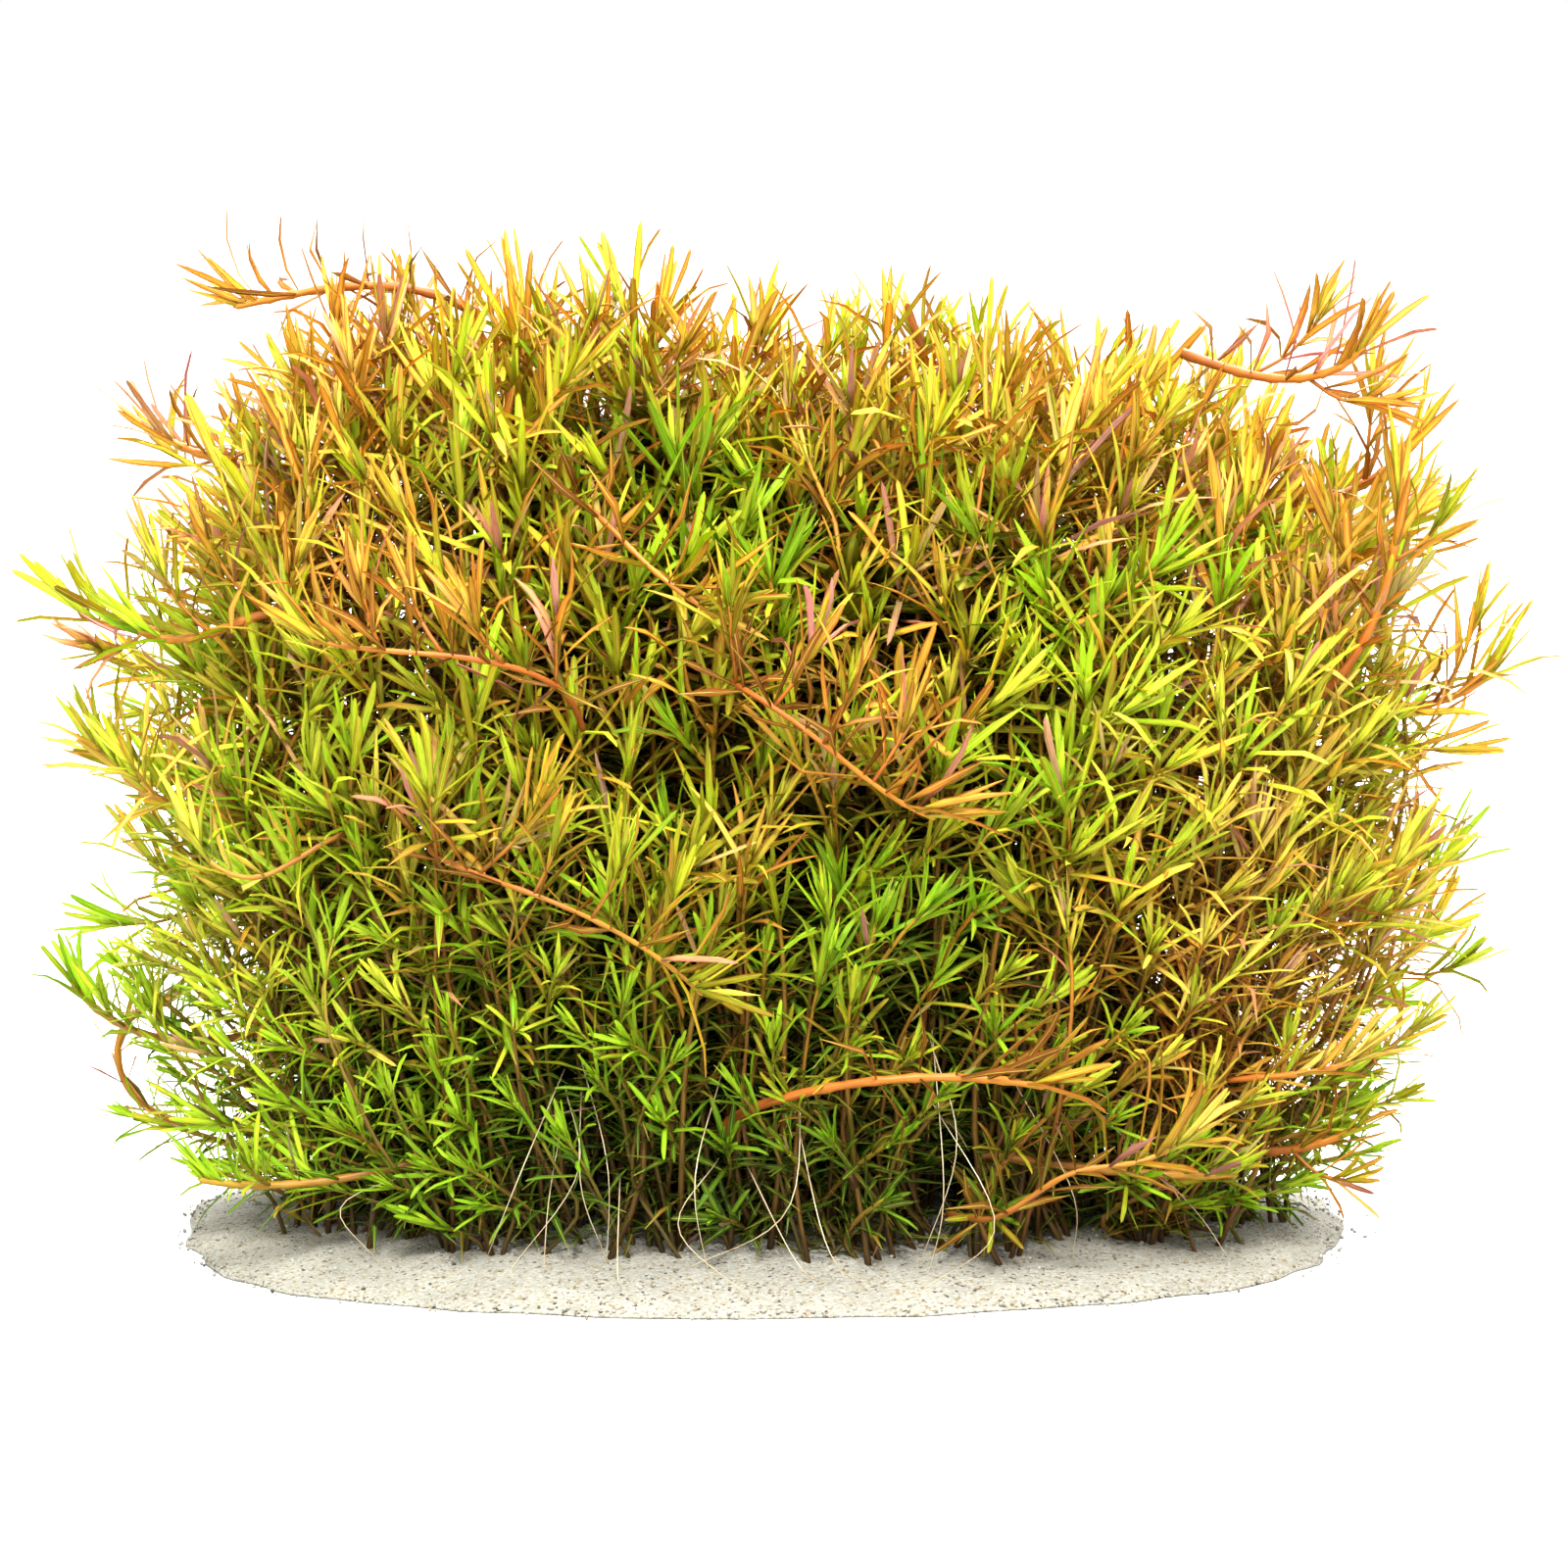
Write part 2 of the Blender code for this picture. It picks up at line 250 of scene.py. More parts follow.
# fine streaks that run along a leaf, a stem or a root, from its own UV map
def makeFibreGroup():
    group, given, out = newGroup(
        "plantFibres",
        (
            ("Vector", "NodeSocketVector"),
            ("Across", "NodeSocketFloat"),
            ("Along", "NodeSocketFloat"),
            ("Shift", "NodeSocketFloat"),
        ),
        (("Streak", "NodeSocketFloat"), ("Mottle", "NodeSocketFloat")),
    )
    split = addNode(group, "ShaderNodeSeparateXYZ", Vector=given.outputs["Vector"])
    x = calc(group, "MULTIPLY", split.outputs["X"], given.outputs["Across"])
    y = calc(group, "MULTIPLY", split.outputs["Y"], given.outputs["Along"])
    z = calc(group, "MULTIPLY", given.outputs["Shift"], 60.0)
    place = addNode(group, "ShaderNodeCombineXYZ", X=x, Y=y, Z=z).outputs["Vector"]
    fine = addNode(group, "ShaderNodeTexNoise", Vector=place, Scale=1.0, Detail=1.0, Roughness=0.6)
    wide = addNode(group, "ShaderNodeTexNoise", Vector=place, Scale=0.35, Detail=0.0)
    group.links.new(fine.outputs["Fac"], out.inputs["Streak"])
    group.links.new(wide.outputs["Fac"], out.inputs["Mottle"])
    return group


# small grains of several tints, from Object coordinates
def makeGrainGroup():
    group, given, out = newGroup(
        "sandGrains",
        (("Vector", "NodeSocketVector"), ("Size", "NodeSocketFloat")),
        (("Pick", "NodeSocketFloat"), ("Height", "NodeSocketFloat")),
    )
    cells = addNode(
        group,
        "ShaderNodeTexVoronoi",
        {"feature": "F1"},
        Vector=given.outputs["Vector"],
        Scale=given.outputs["Size"],
    )
    tone = addNode(group, "ShaderNodeSeparateColor", Color=cells.outputs["Color"])
    height = calc(group, "SUBTRACT", 1.0, cells.outputs["Distance"])
    group.links.new(tone.outputs["Red"], out.inputs["Pick"])
    group.links.new(height, out.inputs["Height"])
    return group


leafLook = {
    "greens": (
        (0.00, (0.52, 0.80, 0.025)),
        (0.30, (0.28, 0.58, 0.010)),
        (0.65, (0.13, 0.34, 0.008)),
        (1.00, (0.035, 0.12, 0.006)),
    ),
    "olives": (
        (0.00, (0.76, 0.84, 0.060)),
        (0.30, (0.53, 0.59, 0.014)),
        (0.65, (0.34, 0.33, 0.010)),
        (1.00, (0.13, 0.11, 0.007)),
    ),
    "warms": (
        (0.00, (0.90, 0.70, 0.13)),
        (0.30, (0.80, 0.43, 0.045)),
        (0.65, (0.60, 0.23, 0.026)),
        (1.00, (0.26, 0.095, 0.012)),
    ),
    # the colour of the margins: the leaf's own red rim and painted shade along the edges
    "edge": (0.26, 0.05, 0.012, 1.0),
    "rib": (0.84, 0.72, 0.12, 1.0),
    "blush": (0.62, 0.24, 0.24, 1.0),
    "bump": (0.55, 0.0002),
    "roughness": 0.42,
    "gloss": 0.16,
    "translucent": 0.40,
}


def makeLeafMaterial(look, fibres):
    material, tree, shader = newMaterial("rotalaLeaf")
    # the age attribute holds the leaf's own age together with the painted shade and backlight of its place
    age = readAttribute(tree, "age")
    warmth = readAttribute(tree, "warmth")
    chance = readAttribute(tree, "chance")
    blush = readAttribute(tree, "blush")
    uv = addNode(tree, "ShaderNodeUVMap", {"uv_map": "bladeUv"}).outputs["UV"]
    split = addNode(tree, "ShaderNodeSeparateXYZ", Vector=uv)
    side = calc(tree, "FRACT", split.outputs["X"])
    offRib = calc(tree, "MULTIPLY", calc(tree, "ABSOLUTE", calc(tree, "SUBTRACT", side, 0.5)), 2.0)
    along = split.outputs["Y"]
    under = calc(tree, "GREATER_THAN", split.outputs["X"], 1.0)
    fibre = useGroup(tree, fibres, Vector=uv, Across=14.0, Along=5.0, Shift=chance)

    wave = calc(tree, "SUBTRACT", fibre.outputs["Mottle"], 0.5)
    turn = calc(tree, "MULTIPLY", calc(tree, "SUBTRACT", along, 0.45), 0.42)
    warm = calc(tree, "ADD", warmth, calc(tree, "MULTIPLY", turn, warmth))
    warm = calc(tree, "ADD", warm, calc(tree, "MULTIPLY", wave, 0.9), True)
    darkening = calc(tree, "ADD", age, calc(tree, "MULTIPLY", turn, 0.55))
    darkening = calc(tree, "ADD", darkening, calc(tree, "MULTIPLY", wave, 0.35), True)
    greens = rampOf(tree, darkening, look["greens"])
    warms = rampOf(tree, darkening, look["warms"])
    olives = rampOf(tree, darkening, look["olives"])
    colour = blendColour(tree, between(tree, warm, 0.05, 0.38), greens, olives)
    colour = blendColour(tree, between(tree, warm, 0.38, 0.90), colour, warms)
    # reddish-brown margins: the leaf's own red rim, stronger the warmer the leaf, and painted shade that
    # darkens every blade along its edges
    edge = between(tree, offRib, 0.52, 0.95)
    edge = calc(tree, "MULTIPLY", edge, calc(tree, "ADD", calc(tree, "MULTIPLY", warm, 0.60), 0.20))
    colour = blendColour(tree, edge, colour, look["edge"])
    rib = between(tree, offRib, 0.18, 0.04, 0.0, 0.55)
    colour = blendColour(tree, rib, colour, look["rib"])
    pink = calc(tree, "MULTIPLY", blush, calc(tree, "ADD", 0.55, calc(tree, "MULTIPLY", under, 0.35)))
    colour = blendColour(tree, pink, colour, look["blush"])
    tone = calc(tree, "ADD", 0.76, calc(tree, "MULTIPLY", chance, 0.52))
    fleck = calc(tree, "MULTIPLY", tone, between(tree, fibre.outputs["Streak"], 0.3, 0.7, 0.76, 1.12))
    colour = toned(tree, colour, fleck)

    relief = calc(tree, "ADD", calc(tree, "MULTIPLY", rib, -1.2), fibre.outputs["Streak"])
    normal = dress(tree, shader, look, colour, relief)
    glow = addNode(tree, "ShaderNodeBsdfTranslucent", Color=colour, Normal=normal)
    mixed = addNode(tree, "ShaderNodeMixShader", Fac=look["translucent"])
    tree.links.new(shader.outputs[0], mixed.inputs[1])
    tree.links.new(glow.outputs[0], mixed.inputs[2])
    tree.links.new(mixed.outputs[0], tree.nodes["Material Output"].inputs["Surface"])
    return material


stemLook = {
    "greens": ((0.0, (0.30, 0.30, 0.02)), (0.5, (0.15, 0.11, 0.015)), (1.0, (0.045, 0.030, 0.008))),
    "warms": ((0.0, (0.50, 0.20, 0.018)), (0.5, (0.34, 0.090, 0.010)), (1.0, (0.10, 0.030, 0.007))),
    "bump": (0.4, 0.0002),
    "roughness": 0.42,
    "gloss": 0.22,
}


def makeStemMaterial(look, fibres):
    material, tree, shader = newMaterial("rotalaStem")
    age = readAttribute(tree, "age")
    warmth = readAttribute(tree, "warmth")
    chance = readAttribute(tree, "chance")
    uv = addNode(tree, "ShaderNodeUVMap", {"uv_map": "bladeUv"}).outputs["UV"]
    fibre = useGroup(tree, fibres, Vector=uv, Across=9.0, Along=220.0, Shift=chance)
    darkening = calc(tree, "SUBTRACT", age, calc(tree, "MULTIPLY", fibre.outputs["Streak"], 0.5))
    darkening = calc(tree, "ADD", darkening, 0.25, True)
    greens = rampOf(tree, darkening, look["greens"])
    warms = rampOf(tree, darkening, look["warms"])
    colour = blendColour(tree, warmth, greens, warms)
    dress(tree, shader, look, colour, fibre.outputs["Streak"])
    return material


rootLook = {
    "tints": ((0.3, (0.62, 0.54, 0.36)), (0.6, (0.44, 0.33, 0.18))),
    "bump": (0.3, 0.0001),
    "roughness": 0.5,
    "gloss": 0.5,
}


def makeRootMaterial(look, fibres):
    material, tree, shader = newMaterial("waterRoot")
    chance = readAttribute(tree, "chance")
    uv = addNode(tree, "ShaderNodeUVMap", {"uv_map": "bladeUv"}).outputs["UV"]
    fibre = useGroup(tree, fibres, Vector=uv, Across=5.0, Along=300.0, Shift=chance)
    colour = rampOf(tree, fibre.outputs["Mottle"], look["tints"])
    dress(tree, shader, look, colour, fibre.outputs["Streak"])
    return material


sandLook = {
    # share of the grains up to this tint, and the tint
    "tints": (
        (0.00, (0.30, 0.29, 0.24)),
        (0.42, (0.35, 0.34, 0.29)),
        (0.74, (0.29, 0.26, 0.18)),
        (0.89, (0.22, 0.17, 0.10)),
        (0.95, (0.14, 0.10, 0.055)),
        (0.98, (0.035, 0.030, 0.026)),
    ),
    "cellsPerMetre": 1900.0,
    "bump": (0.8, 0.0004),
    "roughness": 0.78,
    "gloss": 0.5,
}

# a loose grain has the sand's tints, finer pits and more shine
grainLook = {**sandLook, "cellsPerMetre": 5700.0, "bump": (0.4, 0.0001), "roughness": 0.45}


def makeSandMaterial(look, grains):
    material, tree, shader = newMaterial("paleSand")
    place = addNode(tree, "ShaderNodeTexCoord").outputs["Object"]
    small = useGroup(tree, grains, Vector=place, Size=look["cellsPerMetre"])
    large = useGroup(tree, grains, Vector=place, Size=look["cellsPerMetre"] * 0.42)
    tints = rampOf(tree, small.outputs["Pick"], look["tints"], "CONSTANT")
    patch = addNode(tree, "ShaderNodeTexNoise", Vector=place, Scale=90.0, Detail=3.0)
    colour = toned(tree, tints, between(tree, patch.outputs["Fac"], 0.35, 0.7, 0.86, 1.04))
    relief = calc(tree, "ADD", small.outputs["Height"], calc(tree, "MULTIPLY", large.outputs["Height"], 0.8))
    dress(tree, shader, look, colour, relief)
    return material


def makeGrainMaterial(look, grains):
    material, tree, shader = newMaterial("sandGrain")
    place = addNode(tree, "ShaderNodeTexCoord").outputs["Object"]
    tints = rampOf(tree, readAttribute(tree, "chance"), look["tints"], "CONSTANT")
    pits = useGroup(tree, grains, Vector=place, Size=look["cellsPerMetre"]).outputs["Height"]
    colour = toned(tree, tints, between(tree, pits, 0.2, 0.9, 0.85, 1.08))
    dress(tree, shader, look, colour, pits)
    return material


# ---- the stand's own form, as in the solids

stand = {
    "halfWidth": 0.085,
    "halfDepth": 0.045,
    "height": 0.174,
    "frontDrop": 0.45,
    "backDrop": 0.30,
    "leftDrop": 0.08,
    "rightDrop": 0.14,
    "swellWidth": 0.14,
    "swellDepth": 0.17,
    "swellArc": 2.136,
    "skirt": 0.08,
    "skirtHeight": 0.100,
    "swellFrom": 0.0105,
    "leanRight": 0.006,
    "whorlSpacing": 0.0185,
    "bareFoot": 0.005,
    "rim": 0.009,  # how far leaves and twigs stand outside the ring of outer plants
}

bed = {
    "halfWidth": 0.104,
    "halfDepth": 0.071,
    "centreX": -0.003,
    "height": 0.0085,
    "lip": 0.0012,
    "squareness": 2.4,
    "sides": 120,
    "ringShares": (0.985, 0.96, 0.92, 0.87, 0.81, 0.74, 0.66, 0.57, 0.47, 0.36, 0.24, 0.12),
    "ripple": 0.0011,
    "thinned": 0.0008,  # how much lower the edge lies than in the solid
    "grainCount": 3400,
    "grainSize": (0.00020, 0.00058),
    "strayGrains": 700,  # how many lie loose round the edge
}


def bedShare(x, y):
    across = np.abs((x - bed["centreX"]) / bed["halfWidth"]) ** bed["squareness"]
    along = np.abs(y / bed["halfDepth"]) ** bed["squareness"]
    return (across + along) ** (1 / bed["squareness"])


def moundHeight(share):
    return bed["lip"] + (bed["height"] - bed["lip"]) * (1 - np.minimum(share, 1.0) ** 2.2)


def standTop(x, y):
    side = np.clip(x / stand["halfWidth"], -1.12, 1.12)
    depth = np.clip(y / stand["halfDepth"], -1.12, 1.12)
    lower = np.where(side < 0, stand["leftDrop"], stand["rightDrop"]) * side**4
    front = stand["frontDrop"] * np.abs(depth) ** 1.8
    back = stand["backDrop"] * np.abs(depth) ** 2.5
    return stand["height"] * (1 - lower - np.where(depth < 0, front, back))


# how high the shoot tips stand, which leaves room for the leaves over them
def tipTop(x, y):
    return standTop(0 * x, y) * np.interp(x, twigs["topAcross"], twigs["topShares"])


def opened(points):
    height = np.maximum(0.0, points[..., 2] - stand["swellFrom"])
    rise = height / stand["height"]
    swell = np.sin(stand["swellArc"] * rise)
    skirt = stand["skirt"] * np.sin(math.pi * np.minimum(1.0, height / stand["skirtHeight"]))
    x = points[..., 0] * (1 + stand["swellWidth"] * swell + skirt) + stand["leanRight"] * rise**2
    y = points[..., 1] * (1 + stand["swellDepth"] * swell)
    return np.stack([x, y, points[..., 2]], axis=-1)


def meshPoints(mesh):
    points = np.empty(len(mesh.vertices) * 3)
    mesh.vertices.foreach_get("co", points)
    return points.reshape(-1, 3)


def plantSpot(name):
    points = meshPoints(frame["nodes"][name].data)
    return points[points[:, 2] < points[:, 2].min() + 0.0001].mean(axis=0)[:2]


# ---- leaf blades, modelled once and copied

leafForms = {
    # stations: share of the length, share of the half width
    "lance": {"stations": ((0.0, 0.30), (0.30, 0.95), (0.66, 0.84), (0.90, 0.34)), "thickness": 0.17},
    "strap": {"stations": ((0.0, 0.40), (0.22, 0.85), (0.74, 0.94), (0.94, 0.60)), "thickness": 0.22},
    "bud": {"stations": ((0.0, 0.50), (0.48, 1.00)), "thickness": 0.26},
    "inner": {"stations": ((0.0, 0.34), (0.52, 1.00)), "thickness": 0.20},
    # the dark filler leaves inside the stand, which are painted shade
    "shadeFiller": {"stations": ((0.0, 1.00),), "thickness": 0.30},
}


def modelLeaf(name, form):
    bpy.ops.object.select_all(action="DESELECT")
    bpy.ops.mesh.primitive_circle_add(vertices=4, radius=1.0, fill_type="NGON", location=(0, 0, 0))
    leaf = bpy.context.object
    leaf.name = name + "_pattern"
    bpy.ops.object.mode_set(mode="EDIT")
    bpy.ops.mesh.select_all(action="SELECT")
    stations = form["stations"]
    bpy.ops.transform.resize(value=(stations[0][1], form["thickness"], 1.0))
    for last, station in zip(stations, stations[1:]):
        grow = {"value": (0, 0, station[0] - last[0])}
        bpy.ops.mesh.extrude_region_move(TRANSFORM_OT_translate=grow)
        bpy.ops.transform.resize(value=(station[1] / last[1], 1.0, 1.0))
    grow = {"value": (0, 0, 1 - stations[-1][0])}
    bpy.ops.mesh.extrude_region_move(TRANSFORM_OT_translate=grow)
    bpy.ops.mesh.merge(type="CENTER")
    bpy.ops.mesh.select_all(action="SELECT")
    bpy.ops.mesh.normals_make_consistent(inside=False)
    bpy.ops.object.mode_set(mode="OBJECT")
    return leafPattern(leaf)


# the leaf's arrays: across, off the blade and along for each vertex, and its faces and their UVs
def leafPattern(leaf):
    mesh = leaf.data
    points = meshPoints(mesh)
    corners, starts, uvs = [], [], []
    for face in mesh.polygons:
        starts.append(len(corners))
        below = face.normal.y < -0.05 or (abs(face.normal.y) <= 0.05 and face.center.y < 0)
        for corner in face.vertices:
            x, _, z = points[corner]
            widest = max(0.001, abs(points[np.abs(points[:, 2] - z) < 0.01][:, 0]).max())
            across = 0.5 + 0.49 * (x / widest)
            uvs.append((across + (2.0 if below else 0.0), z))
            corners.append(corner)
    tip = points[:, 2] > 0.999
    pattern = {
        "points": points,
        "corners": np.array(corners),
        "starts": np.array(starts),
        "uvs": np.array(uvs),
        "margin": (np.abs(points[:, 0]) > 0.02) | tip,
    }
    bpy.data.objects.remove(leaf, do_unlink=True)
    return pattern


def unit(v):
    return v / np.maximum(np.linalg.norm(v, axis=-1, keepdims=True), 1e-12)


# one row for each leaf, gathered by form
leafFields = ("base", "ahead", "face", "length", "width", "bend", "fold", "twist", "sweep")
leafTones = ("age", "warmth", "blush", "chance")


def keepLeaves(rows, form, **leaves):
    store = rows.setdefault(form, {key: [] for key in leafFields + leafTones})
    for key, values in leaves.items():
        store[key].append(values)


def placeLeaves(pattern, rows):
    points = pattern["points"]
    count = len(rows["length"])
    z = points[None, :, 2, None]
    length = rows["length"][:, None, None]
    half = rows["width"][:, None, None] / 2
    ahead = rows["ahead"][:, None, :]
    face = rows["face"][:, None, :]
    side = np.cross(rows["ahead"], rows["face"])[:, None, :]
    bend = np.where(np.abs(rows["bend"]) < 0.01, 0.01, rows["bend"])[:, None, None]
    turned = 2 * bend * z
    forward = np.sin(turned) / (2 * bend)
    lifted = (1 - np.cos(turned)) / (2 * bend)
    roll = rows["twist"][:, None, None] * z
    normal = face * np.cos(turned) - ahead * np.sin(turned)
    normalRolled = normal * np.cos(roll) + side * np.sin(roll)
    sideRolled = side * np.cos(roll) - normal * np.sin(roll)
    x = points[None, :, 0, None]
    y = points[None, :, 1, None] + rows["fold"][:, None, None] * np.abs(x)
    placed = rows["base"][:, None, :] + length * (ahead * forward + face * lifted)
    placed = placed + side * length * rows["sweep"][:, None, None] * z**2
    placed = placed + half * (sideRolled * x + normalRolled * y)
    # a leaf that would dip into the sand bends up until it rests on it
    share = bedShare(placed[..., 0], placed[..., 1])
    sand = np.where(share < 1, moundHeight(share), 0.0)
    deep = np.maximum(0.0, (sand + 0.0006 - placed[..., 2]).max(axis=1))
    placed[..., 2] += deep[:, None] * np.minimum(1.0, points[None, :, 2] * 1.6)
    corners = pattern["corners"][None, :] + (np.arange(count) * len(points))[:, None]
    starts = pattern["starts"][None, :] + (np.arange(count) * len(pattern["corners"]))[:, None]
    part = {
        "points": placed.reshape(-1, 3),
        "corners": corners.ravel(),
        "starts": starts.ravel(),
        "uvs": np.tile(pattern["uvs"], (count, 1)),
        "margin": np.tile(pattern["margin"], count),
        "material": np.zeros(count * len(pattern["starts"]), int),
    }
    for tone in leafTones:
        part[tone] = np.repeat(rows[tone], len(points))
    return part


# how old and how warm a stem is from its foot to its end
def stemTones(chance, age, warmth):
    return {"age": age, "warmth": warmth, "blush": (0, 0), "chance": (chance.random(),) * 2}


# a closed tube along a path, drawn to a point at its end
def placeTube(path, radii, sides, tones, material):
    count = len(path)
    ahead = unit(np.gradient(path, axis=0))
    side = np.empty_like(path)
    start = np.cross(ahead[0], up if abs(ahead[0][2]) < 0.9 else (0.0, 1.0, 0.0))
    side[0] = unit(start)
    for step in range(1, count):
        side[step] = unit(side[step - 1] - ahead[step] * side[step - 1].dot(ahead[step]))
    other = np.cross(ahead, side)
    angles = math.tau * np.arange(sides) / sides
    ring = side[:, None] * np.cos(angles)[None, :, None] + other[:, None] * np.sin(angles)[None, :, None]
    points = (path[:, None] + ring * radii[:, None, None]).reshape(-1, 3)
    points = np.vstack([points, path[-1] + ahead[-1] * radii[-1] * 1.5])
    tip = len(points) - 1
    run = np.concatenate([[0], np.cumsum(np.linalg.norm(np.diff(path, axis=0), axis=1))])
    corners, starts, uvs = [], [], []
    for step in range(count - 1):
        for s in range(sides):
            a, b = step * sides + s, step * sides + (s + 1) % sides
            starts.append(len(corners))
            corners += [a, b, b + sides, a + sides]
            uvs += [(s / sides, run[step]), ((s + 1) / sides, run[step])]
            uvs += [((s + 1) / sides, run[step + 1]), (s / sides, run[step + 1])]
    for s in range(sides):
        a, b = (count - 1) * sides + s, (count - 1) * sides + (s + 1) % sides
        starts.append(len(corners))
        corners += [a, b, tip]
        uvs += [(s / sides, run[-1]), ((s + 1) / sides, run[-1]), (0.5, run[-1] + 0.001)]
    starts.append(len(corners))
    corners += list(range(sides))[::-1]
    uvs += [(0.5, 0.0)] * sides
    part = {
        "points": points,
        "corners": np.array(corners),
        "starts": np.array(starts),
        "uvs": np.array(uvs),
        "margin": np.zeros(len(points), bool),
        "material": np.full(len(starts), material),
    }
    share = np.append(np.repeat(run / run[-1], sides), 1.0)
    for tone, (low, high) in tones.items():
        part[tone] = low + (high - low) * share
    return part


def joinParts(name, parts, materials):
    offsets = np.cumsum([0] + [len(p["points"]) for p in parts])
    loopOffsets = np.cumsum([0] + [len(p["corners"]) for p in parts])
    points = np.vstack([p["points"] for p in parts])
    corners = np.concatenate([p["corners"] + o for p, o in zip(parts, offsets)])
    starts = np.concatenate([p["starts"] + o for p, o in zip(parts, loopOffsets)])
    mesh = bpy.data.meshes.new(name)
    mesh.vertices.add(len(points))
    mesh.vertices.foreach_set("co", points.astype(np.float32).ravel())
    mesh.loops.add(len(corners))
    mesh.loops.foreach_set("vertex_index", corners.astype(np.int32))
    mesh.polygons.add(len(starts))
    mesh.polygons.foreach_set("loop_start", starts.astype(np.int32))
    mesh.polygons.foreach_set("use_smooth", np.ones(len(starts), bool))
    indices = np.concatenate([p["material"] for p in parts])
    mesh.polygons.foreach_set("material_index", indices.astype(np.int32))
    uvs = mesh.uv_layers.new(name="bladeUv")
    uvs.data.foreach_set("uv", np.concatenate([p["uvs"] for p in parts]).astype(np.float32).ravel())
    for tone in leafTones:
        layer = mesh.attributes.new(tone, "FLOAT", "POINT")
        layer.data.foreach_set("value", np.concatenate([p[tone] for p in parts]).astype(np.float32))
    mesh.update(calc_edges=True)
    ends = np.empty(len(mesh.edges) * 2, np.int32)
    mesh.edges.foreach_get("vertices", ends)
    margin = np.concatenate([p["margin"] for p in parts])[ends.reshape(-1, 2)].all(axis=1)
    sharp = mesh.attributes.new("sharp_edge", "BOOLEAN", "EDGE")
    sharp.data.foreach_set("value", margin)
    for material in materials:
        mesh.materials.append(material)
    piece = bpy.data.objects.new(name, mesh)
    bpy.context.scene.collection.objects.link(piece)
    return piece


# ---- shoots

shootPlan = {
    # from the tip down: how far each whorl is, its leaves, their length, width and angle, in mm and degrees
    "fromTip": (0.2, 0.8, 1.9, 3.6, 6.2, 10.0, 15.0, 21.0, 28.0, 35.5, 43.0, 50.5, 58.0, 65.5, 73.0, 80.5),
    "leaves": (2, 3, 3, 3, 3, 3, 3, 3, 3, 3, 3, 3, 3, 3, 3, 3),
    "length": (6.0, 10.0, 14.0, 17.0, 18.0, 17.5, 16.5, 15.5, 15, 14.5, 14, 13.5, 13, 12.5, 12, 12),
    "width": (0.8, 1.1, 1.3, 1.4, 1.45, 1.4, 1.35, 1.3, 1.25, 1.2, 1.15, 1.1, 1.1, 1.1, 1.1, 1.1),
    "angle": (7, 12, 19, 27, 36, 46, 57, 66, 73, 78, 83, 86, 88, 90, 90, 90),
    "fullBlades": 6,  # whorls from the tip down that have full blades
    "tones": (-0.17, 0.0, 0.17),  # how much cooler or warmer one shoot is than another
    "blushing": 0.16,  # the share of shoots that have pink leaves
    "upcurled": 0.22,  # the share of leaves that bend the other way
}

zones = {
    "warmLow": 0.17,  # warmth at the bed and at the top of the stand
    "warmHigh": 0.82,
    "rightBoost": 0.16,
    "smallBelow": 0.062,  # below this height leaves are small, blunt and green
    "straps": 0.4,  # the share of the higher shoots that have blunt leaves too
    # patches of the stand that are greener or warmer: middle across and up, reach, what they add
    "patches": (
        (-0.044, 0.022, 0.034, 0.020, -0.20),
        (-0.020, 0.124, 0.030, 0.016, -0.22),
        (0.052, 0.112, 0.026, 0.018, -0.16),
        (-0.084, 0.046, 0.030, 0.022, 0.12),
        (0.000, 0.088, 0.026, 0.014, 0.30),
        (0.082, 0.046, 0.034, 0.026, 0.44),
        (-0.086, 0.155, 0.026, 0.020, 0.15),
        (-0.062, 0.112, 0.022, 0.012, 0.22),
        (0.006, 0.020, 0.040, 0.016, -0.08),
    ),
    # patches of painted shade, where the leaves are darker at the middle of the stand's foot, and of painted
    # backlight, where they are lighter at the sides, in the same way
    "darkening": (
        # painted shade at the dark middle of the stand's foot
        (0.002, 0.010, 0.055, 0.020, 0.60),
        # painted backlight on the sides, as if lit through from behind
        (-0.075, 0.045, 0.050, 0.036, -0.46),
        (0.085, 0.055, 0.034, 0.042, -0.40),
        (0.080, 0.100, 0.040, 0.030, -0.28),
        (-0.095, 0.090, 0.025, 0.050, -0.30),
    ),
}


# how much darker the leaves are painted at a place: painted shade where it is above nothing, painted
# backlight where it is below
def paintedShadeAndLight(x, z):
    addedDarkening = 0 * x
    for middle, height, wide, tall, more in zones["darkening"]:
        addedDarkening = addedDarkening + more * np.exp(-(((x - middle) / wide) ** 2) - ((z - height) / tall) ** 2)
    return addedDarkening


def zoneWarmth(x, z):
    rise = np.clip((z - 0.03) / 0.135, 0, 1)
    warm = zones["warmLow"] + (zones["warmHigh"] - zones["warmLow"]) * rise**1.1
    right = np.clip((x + 0.01) / 0.10, 0, 1) * np.clip((z - 0.01) / 0.05, 0, 1)
    warm = warm + zones["rightBoost"] * right * (1 - 0.5 * rise)
    for middle, height, wide, tall, more in zones["patches"]:
        warm = warm + more * np.exp(-(((x - middle) / wide) ** 2) - ((z - height) / tall) ** 2)
    return warm


# spots and headings along a path, for distances measured back from its tip
def fromTip(path, distances):
    back = path[::-1]
    run = np.concatenate([[0], np.cumsum(np.linalg.norm(np.diff(back, axis=0), axis=1))])

    def at(d):
        return np.stack([np.interp(d, run, back[:, i]) for i in range(3)], axis=-1)

    step = 0.0012
    return at(distances), unit(at(distances - step) - at(distances + step)), run[-1]


